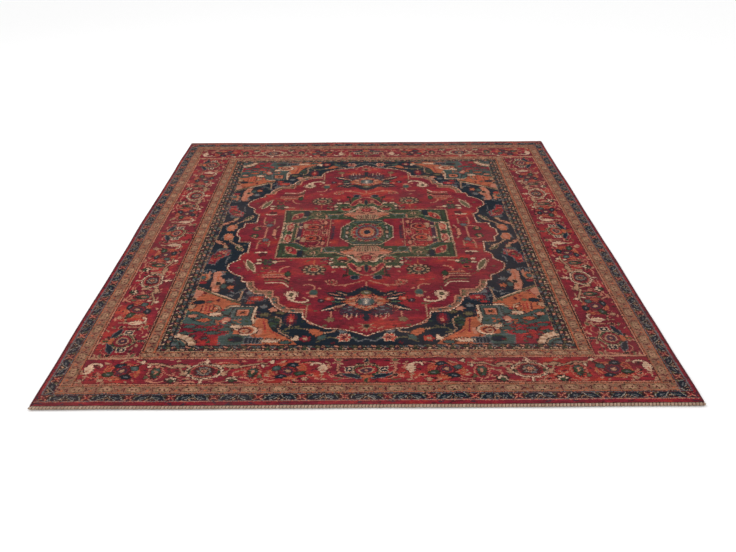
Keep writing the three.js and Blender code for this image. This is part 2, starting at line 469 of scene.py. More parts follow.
def chart_side_panel(q):
    """Red panel beside the octagon, inside the green frame."""
    q.part((q.x < 445) & (q.y < 302)).cover("green")
    panel = q.outline([(90, -200), (342, -200), (342, 132), (300, 176), (90, 176)])
    q.fill(panel, "crimson", edge="umber", edge_width=6)
    scatter_sprigs(q.at(240, 90, 96), 26, 43, ("wine", "brick", "salmon", "umber"))
    q.fill(q.block(162, 112, 18, 58), "brick")
    q.fill(q.block(178, 0, 6, 84), "aubergine", teeth=6)
    q.fill(q.line([(196, -5), (196, 180)], 5), "salmon", edge="wine")
    for x in (208, 220, 232, 244):
        q.fill(q.line([(x, 0), (x, 44)], 4), "salmon" if x % 24 else "tan")
    q.fill(q.oval(222, 0, 9, 12), "wine", edge="tan")
    q.fill(q.oval(268, 0, 8, 9), "umber", edge="rust")
    q.fill(q.block(312, 0, 16, 24), "madder", edge="salmon")
    ring = q.oval(284, 70, 52, 44)
    q.fill(ring, "wine", edge="umber", edge_width=3)
    q.fill(abs(ring + 4) - 3, "salmon")
    q.fill(q.oval(288, 70, 34, 26), "madder")
    q.fill(abs(q.oval(286, 70, 26, 22)) - 3, "rust")
    q.fill(q.oval(286, 70, 10, 12), "umber")
    q.fill(q.block(326, 88, 10, 26), "tan", teeth=4)
    q.fill(q.curve([(240, 110), (246, 146), (262, 166), (290, 160)], 5), "salmon")
    q.fill(q.petals(306, 142, 14, 5), "madder", edge="umber")
    q.fill(q.oval(222, 132, 10, 22), "salmon", edge="wine", edge_width=5)
    q.fill(q.oval(222, 82, 8, 14), "brick", edge="umber")


GREEN_FRAME_STRIPES = [  # left edge and yarn of each, from the right
    (444, "tan"),
    (438, "umber"),
    (426, "green"),
    (422, "tan"),
    (394, "wine"),
    (389, "tan"),
    (376, "green"),
    (372, "umber"),
    (365, "tan"),
    (342, "aubergine"),
]


def chart_green_frame(q):
    """Striped uprights and the leafy crossbars of the green frame."""
    upright = q.part((q.x > 342) & (q.x < 450) & (q.y < 296))
    right = 450
    for left, yarn in GREEN_FRAME_STRIPES:
        upright.part((upright.x <= right) & (upright.x > left)).cover(yarn)
        right = left
    for y in range(10, 290, 20):
        upright.fill(upright.oval(441, y, 3, 5), "ivory")
        upright.fill(upright.oval(382, y, 3, 5), "olive")
    upright.fill(upright.oval(408, 74, 17, 50), "madder", edge="ivory", teeth=5)
    upright.fill(upright.oval(408, 74, 7, 26), "salmon")
    upright.fill(upright.diamond(408, 0, 15, 24), "green", edge="umber")
    scatter_sprigs(upright, 40, 49, ("tan", "sage", "teal", "umber", "ivory", "wine"))
    shoulder = q.outline([(342, 134), (450, 134), (450, 300), (196, 300), (196, 182), (296, 182)])
    q.fill(shoulder, "green")
    for x in (252, 316, 400):
        scatter_sprigs(q.at(x, 240, 50), 22, 44 + x, ("sage", "olive", "umber", "teal", "tan", "stone"))
    q.fill(q.line([(446, 150), (446, 300)], 6), "tan")
    q.fill(q.line([(394, 130), (366, 132), (322, 182), (322, 222)], 8), "teal")
    q.fill(q.line([(380, 120), (362, 120), (310, 172)], 5), "tan")
    q.fill(q.leaf((404, 168), (348, 264), 46, 4), "madder", edge="tan")
    q.fill(q.oval(378, 212, 9, 18), "salmon", edge="wine")
    q.fill(q.block(428, 226, 9, 62), "green", edge="umber")
    q.fill(q.block(328, 256, 12, 34), "navy", edge="umber")
    q.fill(q.oval(262, 244, 40, 36), "olive", edge="umber", teeth=8)
    q.fill(q.oval(262, 244, 26, 24), "green", teeth=5)
    q.fill(q.petals(262, 246, 18, 6), "tan")
    q.fill(q.oval(262, 248, 7, 10), "umber")
    q.fill(q.block(220, 214, 4, 24), "salmon")
    q.fill(q.line([(196, 186), (300, 186)], 4), "tan")
    q.fill(q.line([(196, 304), (446, 304)], 7), "salmon")


def chart_red_rosette(q):
    """Rayed rosette beside the pendant, and the scroll and flowers above it."""
    rosette = q.at(250, 436, 90)
    rosette.fill(rosette.oval(0, 0, 58, 54), "umber", teeth=6)
    rosette.fill(rosette.spokes(0, 0, 54, 11), "tan")
    rosette.fill(rosette.oval(0, 0, 36, 34), "navy", edge="olive")
    rosette.fill(rosette.oval(0, -4, 27, 26), "tan", edge="umber")
    rosette.fill(rosette.oval(0, -4, 15, 15), "brick", edge="umber")
    rosette.fill(rosette.oval(0, -4, 5, 5), "tan")
    q.fill(q.line([(250, 390), (250, 330)], 5), "rust")
    q.fill(q.curve([(12, 545), (60, 575), (120, 592), (165, 585), (190, 548)], 8), "salmon")
    q.fill(q.petals(160, 564, 30, 7, 0.3), "salmon", edge="umber", edge_width=3)
    q.fill(q.petals(160, 564, 21, 7, 0.3), "claret")
    q.fill(q.oval(160, 564, 7, 8), "olive")
    q.fill(q.curve([(292, 590), (258, 588), (240, 606), (238, 644)], 8), "salmon")
    q.fill(q.oval(240, 664, 16, 24), "teal", edge="olive")
    q.fill(q.oval(240, 698, 20, 12), "salmon")
    q.fill(q.line([(0, 556), (0, 600)], 7), "salmon")


def chart_red_leaves(q):
    """Pale pear-shaped leaf with a curling tail, and the stacked ribbons of a feathery leaf."""
    pear = q.at(330, 706, 100)
    tail = pear.curve([(14, 4), (-4, 34), (-34, 46), (-64, 40), (-70, 26)], 12)
    pear.fill(tail, "ivory", edge="wine")
    pear.fill(pear.oval(10, -26, 30, 30), "ivory", edge="wine", teeth=14)
    pear.fill(pear.oval(8, 8, 18, 24), "ivory", teeth=6)
    pear.fill(pear.oval(10, -24, 8, 11), "olive", edge="umber")
    pear.fill(pear.oval(6, 10, 5, 7), "umber")
    ribbons = [
        (468, 470, 26, "rust"),
        (486, 492, 30, "tan"),
        (506, 492, 32, "salmon"),
        (524, 484, 34, "umber"),
        (540, 478, 36, "olive"),
        (566, 474, 42, "ivory"),
    ]
    for y, right, drop, yarn in ribbons:
        q.fill(q.curve([(right, y), (410, y - 2), (384, y + 8), (362, y + drop)], 8), yarn)
    q.fill(q.oval(374, 478, 12, 22), "green", edge="umber")
    q.fill(q.curve([(372, 398), (398, 408), (412, 432), (416, 452)], 9), "salmon")


def chart_red_dark_flower(q):
    """Dark flower between pale dots."""
    q.fill(q.petals(474, 348, 36, 7, 0.25), "green", edge="umber", edge_width=5)
    q.fill(q.petals(474, 348, 18, 5), "aubergine", edge="olive")
    for x, y, hx, hy in ((524, 324, 13, 10), (524, 360, 15, 10), (444, 346, 12, 12)):
        q.fill(q.oval(x, y, hx, hy), "ivory", edge="umber", edge_width=3)
    q.fill(q.line([(430, 340), (400, 336)], 12), "salmon")
    q.fill(q.oval(484, 412, 16, 10), "umber", edge="rust")
    q.fill(q.block(524, 240, 30, 8), "ivory")
    q.fill(q.petals(514, 262, 20, 5, 0.2), "wine", edge="umber")


def chart_red_ear(q):
    """The leaf and lines that lead to the side ear, and its flowers."""
    q.fill(q.leaf((582, 326), (538, 446), 28), "olive", edge="ivory", edge_width=5)
    q.fill(q.line([(600, 336), (566, 440)], 5), "tan")
    q.fill(q.line([(532, -10), (532, 84)], 9), "salmon")
    q.fill(q.curve([(548, 98), (556, 140), (552, 196)], 8), "salmon")
    q.fill(q.line([(498, 110), (498, 176)], 6), "tan")
    q.fill(q.petals(522, 92, 20, 6), "slate", edge="umber")
    q.fill(q.petals(588, 44, 24, 6, 0.2), "green", edge="umber")
    q.fill(q.oval(588, 44, 9), "salmon")
    q.fill(q.curve([(540, 76), (576, 80), (598, 60)], 8), "salmon")
    q.fill(q.curve([(476, -10), (482, 40), (470, 80)], 7), "tan")
    q.fill(q.oval(486, 20, 10, 26), "salmon", edge="wine")


def chart_red_tip(q):
    """Small star and buds near the tip."""
    for end in ((30, 940), (34, 972), (20, 998), (0, 1004)):
        q.fill(q.line([(0, 962), end], 6), "tan")
    q.fill(q.oval(0, 960, 10, 12), "umber", edge="olive")
    q.fill(q.line([(152, 838), (152, 886)], 7), "salmon")
    q.fill(q.petals(156, 904, 22, 5, 0.2), "bronze", edge="wine", edge_width=3)


def chart_red_flowers(q):
    """The flowers, scrolls and leaves on the medallion's red ground."""
    chart_red_rosette(q)
    chart_red_leaves(q)
    chart_red_dark_flower(q)
    chart_red_ear(q)
    chart_red_tip(q)


def chart_navy_palmette(q):
    """The feathery dark palmette towards each tip of the medallion."""
    q = q.at(0, 744, 260)
    # crown, with a fringe of fine pale strokes
    crown = [(0, -142), (34, -116), (66, -86), (98, -68), (90, -44), (50, -50), (0, -92)]
    for x in range(6, 70, 10):
        top = -150 + 0.85 * x
        q.fill(q.line([(x, top), (x, top + 16)], 3), "salmon")
    q.fill(q.outline(crown), "navy", edge="umber", edge_width=3, teeth=8)
    # side feathers, dark with a pale rib along each
    feathers = [
        ((80, -54), (136, -92), 40, "tan"),
        ((96, -44), (180, -80), 40, "salmon"),
        ((86, -22), (150, -34), 44, "ivory"),
        ((84, 4), (160, 2), 32, "sage"),
        ((76, 16), (196, 84), 56, "ivory"),
    ]
    for start, end, width, rib in feathers:
        q.fill(q.leaf(start, end, width, 3), "navy", edge="umber", edge_width=3, teeth=8)
        q.fill(q.leaf(start, end, 0.2 * width, 3), rib)
    q.fill(q.leaf((100, 40), (176, 84), 7), "umber")
    q.fill(q.oval(164, -24, 20, 20), "claret", edge="umber", teeth=4)
    q.fill(q.oval(166, -24, 9, 10), "salmon")
    q.fill(q.oval(202, -4, 13, 15), "aubergine", edge="umber", teeth=5)
    q.fill(q.oval(200, -4, 4, 6), "stone")
    q.fill(q.oval(118, 62, 24, 22), "wine", edge="salmon", edge_width=3, teeth=4)
    for x in (104, 114, 124, 134):
        q.fill(q.line([(x, 44), (x, 62)], 3), "tan")
    # dark fringe below, its tassels pale
    fringe = [(14, 66), (60, 34), (98, 44), (114, 96), (104, 116), (62, 118), (30, 122), (0, 100)]
    q.fill(q.outline(fringe), "aubergine", edge="navy", edge_width=5, teeth=9)
    scatter_sprigs(q.part(q.outline(fringe) < -4), 34, 55, ("navy", "teal", "wine", "navy", "slate"))
    tassels = [
        (28, 148, "navy"),
        (40, 140, "ivory"),
        (52, 152, "umber"),
        (62, 142, "tan"),
        (72, 150, "navy"),
        (82, 144, "ivory"),
        (94, 136, "tan"),
    ]
    for x, low, yarn in tassels:
        q.fill(q.line([(x, 112), (x + 2, low)], 4), yarn)
    q.fill(q.outline([(-20, 76), (18, 84), (12, 120), (20, 140), (8, 178), (-20, 178)]), "navy", teeth=8)
    # body
    body = [(0, -78), (40, -56), (106, 0), (70, 34), (36, 58), (0, 84), (-30, 60), (-30, -60)]
    q.fill(q.outline(body), "rust", edge="umber", teeth=9)
    inside = q.part(q.outline(body) < -3)
    scatter_sprigs(inside, 90, 56, ("salmon", "madder", "tan", "brick", "salmon", "umber"))
    q.fill(q.leaf((56, 2), (104, 0), 16), "rust", edge="umber", edge_width=3)
    q.fill(q.oval(0, -80, 24, 17), "olive", edge="umber", teeth=5)
    q.fill(q.oval(0, -80, 8, 6), "stone")
    q.fill(q.line([(20, 58), (0, 70)], 5), "umber")
    q.fill(q.oval(0, 2, 44, 40), "salmon", edge="umber", teeth=6)
    q.fill(q.oval(0, 4, 37, 32), "slate", edge="navy", edge_width=3, teeth=4)
    q.fill(q.oval(26, 6, 9, 18), "teal")
    q.fill(q.oval(0, -2, 12, 26), "stone")
    q.fill(q.line([(0, -18), (0, 22)], 5), "cream")


def chart_navy_ear(q):
    """Lozenge, branch and leaves beside the medallion's ear."""
    lozenge = [(750, 50), (738, 18), (714, 22), (698, 62), (706, 98), (736, 92)]
    q.fill(q.outline(lozenge), "rust", edge="tan")
    q.fill(q.oval(722, 58, 12, 24), "salmon")
    q.fill(q.line([(752, 40), (756, 90)], 5), "slate")
    branch = q.curve([(712, 96), (694, 126), (672, 146), (642, 168), (620, 214)], 8)
    q.fill(branch, "tan", edge="umber", edge_width=3)
    q.fill(q.leaf((664, 158), (626, 222), 26), "green", edge="tan")
    q.fill(q.line([(652, 172), (636, 200)], 6), "ivory")
    q.fill(q.leaf((784, 96), (716, 158), 26), "salmon", edge="umber")
    q.fill(q.oval(740, 128, 12, 8), "umber")
    q.fill(q.leaf((728, 150), (704, 202), 24), "tan", edge="umber")
    q.fill(q.oval(724, 212, 20, 14), "teal", edge="slate")


def chart_navy_side(q):
    """Broad red leaf and long salmon leaf along the side, with the flowers round them."""
    side_leaf = [(688, 212), (738, 220), (768, 286), (768, 362), (738, 372)]
    side_leaf += [(722, 304), (700, 290), (680, 262)]
    q.fill(q.outline(side_leaf), "madder", edge="slate", teeth=9)
    leaf_inside = q.part(q.outline(side_leaf) < -4)
    scatter_sprigs(leaf_inside, 60, 51, ("wine", "salmon", "aubergine", "wine", "olive", "brick"))
    q.fill(q.line([(690, 222), (698, 284)], 6), "slate")
    q.fill(q.curve([(676, 290), (682, 320), (686, 356)], 6), "slate")
    long_leaf = [(676, 452), (704, 442), (724, 466), (720, 530), (722, 590), (702, 646), (676, 640)]
    long_leaf += [(684, 590), (662, 548), (690, 500)]
    q.fill(q.blob(long_leaf), "salmon", edge="umber", edge_width=5)
    q.fill(q.curve([(700, 470), (700, 520), (692, 570), (698, 620)], 10), "rust")
    q.fill(q.oval(692, 566, 12, 14), "umber", edge="tan")
    q.fill(q.curve([(690, 452), (676, 470), (684, 486)], 8), "slate")
    q.fill(abs(q.oval(748, 442, 22, 16)) - 3, "slate")
    q.fill(q.oval(764, 506, 22, 32), "rust", edge="tan")
    q.fill(q.oval(768, 508, 11, 18), "teal", edge="umber")
    q.fill(q.oval(746, 470, 8, 18), "salmon")
    q.fill(q.oval(762, 556, 16, 12), "madder", edge="umber")
    q.fill(q.curve([(622, 500), (628, 540), (612, 580), (618, 616)], 6), "aubergine")
    q.fill(q.petals(640, 540, 22, 6, 0.25), "slate", edge="umber")
    q.fill(q.petals(632, 606, 20, 5, 0.25), "rust", edge="umber")
    q.fill(q.oval(664, 596, 14, 22), "teal", edge="umber")
    q.fill(q.line([(566, 624), (574, 728)], 10), "tan")
    q.fill(q.curve([(560, 618), (572, 640), (600, 664), (622, 650)], 7), "slate")


def chart_navy_diagonal(q):
    """Red flower where the medallion comes nearest the corner piece."""
    q.fill(q.oval(500, 716, 44, 28), "aubergine", edge="slate", teeth=12)
    q.fill(q.oval(496, 716, 32, 20), "madder", edge="wine", teeth=10)
    q.fill(q.oval(498, 716, 10, 8), "salmon")
    q.fill(q.line([(548, 716), (566, 690)], 6), "slate")
    q.fill(q.oval(520, 756, 18, 10), "madder", edge="umber")
    q.fill(q.petals(528, 660, 24, 6, 0.2), "slate", edge="aubergine", edge_width=5)
    q.fill(q.oval(452, 790, 16, 14), "slate", edge="umber")


def chart_navy_end(q):
    """Flowers, buds and vines between the medallion's lower lobes and the field's end."""
    q.fill(q.petals(408, 818, 22, 5, 0.25), "salmon", edge="umber", edge_width=5)
    q.fill(q.oval(372, 846, 20, 12), "olive", edge="umber")
    q.fill(q.oval(396, 926, 26, 44), "green", edge="umber", edge_width=5, teeth=10)
    scatter_sprigs(q.at(396, 926, 40), 26, 57, ("navy", "teal", "umber", "olive", "navy"))
    q.fill(q.oval(440, 862, 20, 14), "olive", edge="umber", teeth=8)
    vine = [(392, 880), (370, 900), (368, 960), (372, 990), (340, 1030), (316, 1046)]
    q.fill(q.curve(vine, 6), "tan")
    q.fill(q.oval(324, 902, 22, 42), "wine", edge="aubergine", edge_width=5, teeth=9)
    q.fill(q.oval(324, 896, 14, 34), "madder", teeth=7)
    q.fill(q.oval(322, 910, 6, 14), "salmon")
    q.fill(q.line([(324, 950), (326, 980)], 5), "tan")
    q.fill(q.curve([(262, 984), (300, 972), (336, 978), (352, 1004), (330, 1014)], 9), "olive")
    q.fill(q.leaf((222, 946), (250, 888), 32), "rust", edge="salmon", edge_width=5)
    q.fill(q.curve([(126, 968), (142, 1004), (184, 1014), (236, 992), (262, 984)], 9), "tan")
    bud = q.blob([(184, 1010), (216, 984), (244, 990), (220, 1030), (196, 1036)])
    q.fill(bud, "rust", edge="umber")
    q.fill(q.petals(94, 1052, 30, 6, 0.2), "madder", edge="ivory", edge_width=5)
    q.fill(q.oval(94, 1052, 12), "wine", edge="salmon")
    q.fill(q.curve([(60, 1052), (34, 1078), (0, 1066)], 8), "slate")
    q.fill(q.curve([(120, 1064), (150, 1048), (184, 1066), (206, 1088)], 8), "olive")
    q.fill(q.leaf((168, 1030), (208, 1070), 26), "teal", edge="umber")
    pale_bud = q.blob([(290, 1030), (304, 1052), (318, 1056), (300, 1074), (284, 1062)])
    q.fill(pale_bud, "ivory", edge="umber")
    q.fill(q.petals(254, 1060, 26, 5, 0.2), "madder", edge="umber")
    q.fill(q.oval(254, 1060, 10), "tan")
    q.fill(q.petals(100, 1000, 20, 5, 0.2), "slate", edge="umber")


def chart_navy_ground(q):
    """Scrolls, leaves and flowers on the navy ground round the medallion."""
    chart_navy_ear(q)
    chart_navy_side(q)
    chart_navy_diagonal(q)
    chart_navy_end(q)


def chart_corner_rust(c):
    """Flowers and flecks of the rust ground between the diagonal line and the teal box."""
    c.fill(c.blob([(744, 640), (800, 590), (800, 690), (762, 700)]), "salmon", edge="brick")
    c.fill(c.oval(744, 746, 24, 16), "navy", edge="umber", teeth=5)
    c.fill(c.oval(700, 742, 13, 12), "olive", edge="madder")
    c.fill(c.oval(664, 728, 8, 14), "wine")
    c.fill(c.oval(776, 716, 12, 14), "umber", edge="tan")
    c.fill(c.oval(770, 782, 16, 18), "tan", edge="umber", teeth=5)
    for x, low, high in ((724, 772, 826), (706, 764, 840), (690, 770, 856), (676, 764, 810)):
        c.fill(c.line([(x, low), (x - 4, high)], 6), "madder" if x % 4 else "wine")
    c.fill(c.line([(716, 780), (712, 836)], 4), "salmon")
    c.fill(c.curve([(668, 776), (650, 790), (642, 816), (648, 842)], 9), "tan", edge="umber", edge_width=3)
    c.fill(c.line([(664, 800), (654, 804)], 5), "ivory")


def chart_corner_teal(c):
    """The teal ground: a framed box with its square rosette, and the leaves beside it."""
    upper = [(500, 790), (612, 790), (642, 862), (676, 872), (740, 830), (800, 820)]
    lower = [(800, 940), (700, 950), (560, 962), (486, 950), (492, 890)]
    c.fill(c.outline(upper + lower), "teal", edge="umber")
    scatter_sprigs(c.at(700, 890, 90), 34, 45, ("navy", "green", "slate", "rust", "umber", "madder"))
    scatter_sprigs(c.at(560, 920, 60), 16, 46, ("navy", "green", "slate", "umber", "rust"))
    c.fill(c.block(542, 842, 50, 50), "slate")
    c.fill(c.block(542, 842, 45, 46), "teal", edge="umber", edge_width=3)
    c.fill(c.block(538, 844, 30, 30), "wine", teeth=3)
    c.fill(c.block(538, 844, 26, 26), "salmon", edge="umber", teeth=4)
    c.fill(c.block(538, 844, 19, 17), "rust", teeth=3)
    c.fill(c.block(538, 844, 11, 10), "umber", teeth=4)
    c.fill(c.line([(574, 800), (582, 886)], 5), "slate")
    c.fill(c.line([(586, 800), (596, 884)], 4), "umber")
    # pale blossom
    c.fill(c.oval(652, 856, 26, 16), "ivory", edge="umber", teeth=6)
    c.fill(c.oval(640, 862, 7, 6), "salmon")
    # red flowers and leaves
    c.fill(c.oval(694, 904, 26, 13), "rust", edge="umber", teeth=5)
    c.fill(c.oval(694, 904, 8, 6), "madder")
    c.fill(c.oval(748, 866, 20, 14), "salmon", edge="umber", teeth=5)
    c.fill(c.blob([(584, 900), (606, 884), (618, 920), (600, 938)]), "salmon", edge="brick")
    c.fill(c.oval(600, 922, 9, 8), "ivory")
    c.fill(c.leaf((626, 966), (642, 904), 18), "rust", edge="umber")
    c.fill(c.leaf((560, 936), (590, 916), 12), "navy")


def chart_corner_crimson(c):
    """The crimson end of the corner piece, mottled with teal, and its scroll."""
    c.fill(c.outline([(800, 930), (716, 944), (640, 962), (590, 990), (560, 1110), (800, 1110)]), "crimson")
    mottle = ("wine", "teal", "navy", "madder", "green", "brick", "claret")
    scatter_sprigs(c.at(690, 1030, 112), 60, 47, mottle)
    patches = [
        (742, 958, 24, 11),
        (694, 982, 26, 10),
        (640, 1010, 28, 12),
        (760, 1010, 12, 10),
        (590, 980, 34, 14),
        (556, 1010, 22, 14),
    ]
    for x, y, rx, ry in patches:
        c.fill(c.oval(x, y, rx, ry), "teal", edge="umber", teeth=6)
    for x, y, r in ((716, 1034, 20), (668, 1052, 24), (620, 962, 14), (700, 1082, 16)):
        c.fill(c.petals(x, y, r, 6, 0.2), "wine", edge="brick")
        c.fill(c.oval(x, y, r * 0.4, r * 0.3), "teal")
    pool = c.outline([(612, 1040), (560, 1018), (490, 1036), (470, 1070), (520, 1106), (600, 1106)])
    c.fill(pool, "teal", edge="slate", teeth=6)
    c.fill(c.oval(540, 1062, 32, 22), "navy", edge="green", teeth=5)
    c.fill(c.oval(560, 1066, 12, 8), "wine")
    # rust wedge
    outer = [(474, 886), (425, 896), (392, 996), (300, 1076), (282, 1110)]
    inner = [(396, 1110), (462, 1046), (486, 960)]
    c.fill(c.outline(outer + inner), "rust", edge="umber")
    c.fill(c.line([(440, 905), (424, 1010)], 7), "brick")
    c.fill(c.oval(450, 1000, 12, 26), "salmon")
    c.fill(c.line([(412, 990), (370, 1034)], 5), "madder")
    c.fill(c.block(470, 1072, 34, 20), "navy", edge="slate", teeth=3)
    for x in (446, 460, 474, 488):
        c.fill(c.line([(x, 1054), (x, 1090)], 4), "slate")
    c.fill(c.oval(400, 1072, 36, 14), "ivory", edge="umber", teeth=8)
    c.fill(c.oval(392, 1066, 10, 5), "salmon")
    c.fill(c.oval(336, 1086, 22, 12), "teal", edge="umber", teeth=4)
    # scroll
    scroll = c.at(506, 992, 70)
    scroll.fill(scroll.oval(0, 0, 46, 38), "rust", edge="umber", teeth=3)
    scroll.fill(abs(scroll.oval(0, 0, 41, 34)) - 5, "ivory")
    scroll.fill(scroll.block(34, 14, 18, 16), "rust")
    scroll.fill(abs(scroll.oval(6, 4, 24, 20)) - 4, "wine")
    scroll.fill(abs(scroll.oval(8, 6, 14, 12)) - 4, "tan")
    scroll.fill(scroll.oval(8, 6, 5), "madder")
    c.fill(c.oval(552, 962, 22, 12), "ivory", edge="umber", teeth=6)


def chart_corner_lines(c):
    """Pale stepped edges of the corner piece, and the diagonal line."""
    c.fill(c.line([(484, 788), (488, 850), (490, 890), (482, 930)], 9), "ivory", edge="umber", edge_width=3)
    c.fill(c.line([(476, 846), (470, 880), (478, 930)], 9), "tan")
    c.fill(c.leaf((490, 862), (452, 842), 16), "ivory")
    c.fill(c.line([(484, 783), (600, 783)], 11), "ivory", edge="umber", edge_width=3)
    c.fill(c.line([(598, 786), (618, 806)], 9), "tan")
    c.fill(c.line([(800, 584), (560, 746)], 30), "tan", edge="umber")
    c.fill(c.line([(800, 592), (566, 754)], 12), "olive")
    c.fill(c.line([(800, 586), (566, 748)], 4), "umber")
    c.fill(c.line([(704, 656), (600, 722)], 7), "ivory")


def chart_corner_piece(q):
    """Rust corner piece with its teal box, crimson end and quarter rosette."""
    q.cover("rust")
    scatter_sprigs(q, 130, 48, ("brick", "salmon", "umber", "madder", "olive", "wine", "camel"))
    chart_corner_rust(q)
    chart_corner_teal(q)
    chart_corner_crimson(q)
    chart_corner_lines(q)
    q.fill(q.oval(796, 1108, 100, 92), "tan", edge="umber", teeth=4)
    q.fill(q.spokes(796, 1108, 96, 18), "ivory")
    q.fill(q.oval(796, 1108, 72, 62), "umber", edge="ivory", edge_width=5)
    q.fill(q.oval(796, 1108, 60, 48), "teal", edge="tan")
    q.fill(abs(q.oval(796, 1108, 42, 32)) - 3, "umber")
    q.fill(q.oval(796, 1108, 26, 18), "slate")


def chart_field(x, y, yarn, medallion, corner):
    """Lays the whole field on one quarter."""
    everything = Chart(abs(x), abs(y), yarn, np.arange(len(x)), teeth=2.0)
    ground = everything.part(~medallion & ~corner)
    ground.cover("navy")
    ground.teeth = 5.0
    scatter_sprigs(ground, 170, 41, ("slate", "olive", "teal", "wine", "aubergine", "green"))
    chart_navy_ground(ground)
    red = everything.part(medallion)
    red.cover("crimson")
    scatter_sprigs(red, 240, 42, ("wine", "brick", "salmon", "wine", "olive", "claret"))
    chart_side_panel(red)
    chart_green_frame(red)
    chart_pendant(red)
    chart_center_octagon(red)
    chart_red_flowers(red)
    chart_navy_palmette(red)
    chart_medallion_edge(everything.part(~corner))
    chart_corner_piece(everything.part(corner))
    # speckled strip beside the inner guard, with a tan line along it
    strip_x, strip_end, line_width = 779, 1030, 3
    strip = everything.part((everything.x > strip_x) & (everything.y < strip_end))
    strip.cover("navy")
    scatter_sprigs(strip, 300, 52, ("olive", "tan", "teal", "umber", "wine", "slate", "navy"))
    strip.fill(strip.x - (strip_x + line_width), "tan")


# ---- Border motifs: x runs along the border, y outwards from its middle ----

def motif_round_rosette(m):
    """Ringed rosette; mirrored about its middle."""
    m.fill(m.oval(0, 0, 64, 52), "umber", teeth=4)
    m.fill(m.oval(0, 0, 60, 48), "tan", teeth=3)
    m.fill(m.oval(0, 0, 55, 43), "green")
    m.fill(m.oval(0, 0, 48, 37), "salmon", teeth=3)
    m.fill(m.oval(0, 0, 43, 32), "crimson", edge="umber", edge_width=3)
    m.fill(m.oval(0, 0, 30, 22), "tan", teeth=3)
    m.fill(m.oval(0, 0, 24, 17), "aubergine")
    m.fill(m.oval(0, 0, 7, 6), "salmon")
    m.fill(m.oval(0, 44, 28, 10), "rust", edge="umber", teeth=2)
    m.fill(m.block(0, -74, 6, 16), "navy", edge="tan", edge_width=3)
    m.fill(m.block(0, 68, 6, 13), "green", edge="rust")
    m.fill(m.leaf((20, 56), (102, 26), 22, -5), "navy", edge="slate", edge_width=3)
    m.fill(m.block(68, -8, 13, 15), "navy", edge="ivory")
    m.fill(m.diamond(68, -8, 7, 9), "ivory")
    # pale anchor on its stem
    m.fill(m.line([(112, -48), (113, 4)], 9), "salmon", edge="wine", edge_width=3)
    m.fill(m.curve([(94, -46), (112, -54), (131, -46)], 7), "tan")
    m.fill(m.oval(112, -72, 12, 9), "olive", edge="salmon", edge_width=3)
    m.fill(m.petals(110, 34, 12, 5, 0.2), "umber", edge="salmon", edge_width=3)
    m.fill(m.curve([(98, 58), (112, 64), (126, 58)], 6), "olive")


def motif_hook(m):
    """Pale thorny hook, its arm pointing away from the rosette."""
    hook = m.curve([(44, -38), (38, -50), (20, -53), (2, -44), (-4, -24)], 9)
    m.fill(hook, "ivory", edge="wine", edge_width=3)
    m.fill(m.leaf((-2, -50), (0, 22), 34), "ivory", edge="wine", edge_width=3, teeth=4)
    m.fill(m.oval(-4, -4, 4, 9), "salmon")
    m.fill(m.line([(0, 18), (0, 54)], 6), "tan")
    m.fill(m.line([(-8, 30), (8, 30)], 5), "tan")
    m.fill(m.petals(40, 32, 9, 4, 0.2), "umber", edge="salmon", edge_width=3)


def motif_leaf_rosette(m):
    """Crimson rosette held by dark leaves and orange strokes."""
    m.fill(m.oval(0, 0, 66, 50), "rust", teeth=5)
    m.fill(m.oval(0, 0, 58, 44), "madder", teeth=5)
    m.fill(m.curve([(-70, 10), (-66, -30), (-52, -44)], 7), "rust")
    m.fill(m.curve([(62, 36), (70, 10), (60, -18)], 7), "rust")
    m.fill(m.oval(0, 0, 42, 36), "wine", edge="salmon", edge_width=3, teeth=3)
    leaves = [
        (-16, -40, 20, 13, "navy"),
        (46, -18, 15, 14, "teal"),
        (-48, 20, 20, 13, "green"),
        (24, 40, 20, 12, "navy"),
    ]
    for x, y, rx, ry, yarn in leaves:
        m.fill(m.oval(x, y, rx, ry), yarn, edge="umber", teeth=2)
        m.fill(m.oval(x, y, rx * 0.45, 4), "slate")
    m.fill(m.petals(0, 0, 26, 8, 0.14), "aubergine", edge="crimson", edge_width=5)
    m.fill(m.petals(0, 0, 11, 6, 0.1), "tan", edge="wine", edge_width=3)
    m.fill(m.curve([(-40, 50), (-10, 56), (10, 52)], 7), "rust")
    m.fill(m.petals(-70, 60, 15, 6, 0.3), "tan", edge="wine", edge_width=3)
    m.fill(m.diamond(68, -62, 12, 14), "ivory", edge="umber", edge_width=3)


def motif_small_flower(m):
    """Crimson flower with a mottled green heart, and a leaf on either side."""
    m.fill(m.oval(0, 12, 27, 44), "crimson", edge="salmon", teeth=3)
    m.fill(m.oval(0, 8, 17, 34), "green", edge="umber", edge_width=3, teeth=4)
    scatter_sprigs(m.part(m.oval(0, 8, 17, 34) < 0), 9, 58, ("umber", "olive", "teal"))
    m.fill(m.oval(0, 4, 5, 14), "salmon")
    m.fill(m.petals(0, -32, 10, 5, 0.2), "salmon", edge="wine", edge_width=3)
    m.fill(m.leaf((-38, -18), (-30, -44), 12), "ivory", edge="umber", edge_width=3)
    m.fill(m.oval(-30, 40, 8, 11), "olive", edge="wine", edge_width=3)


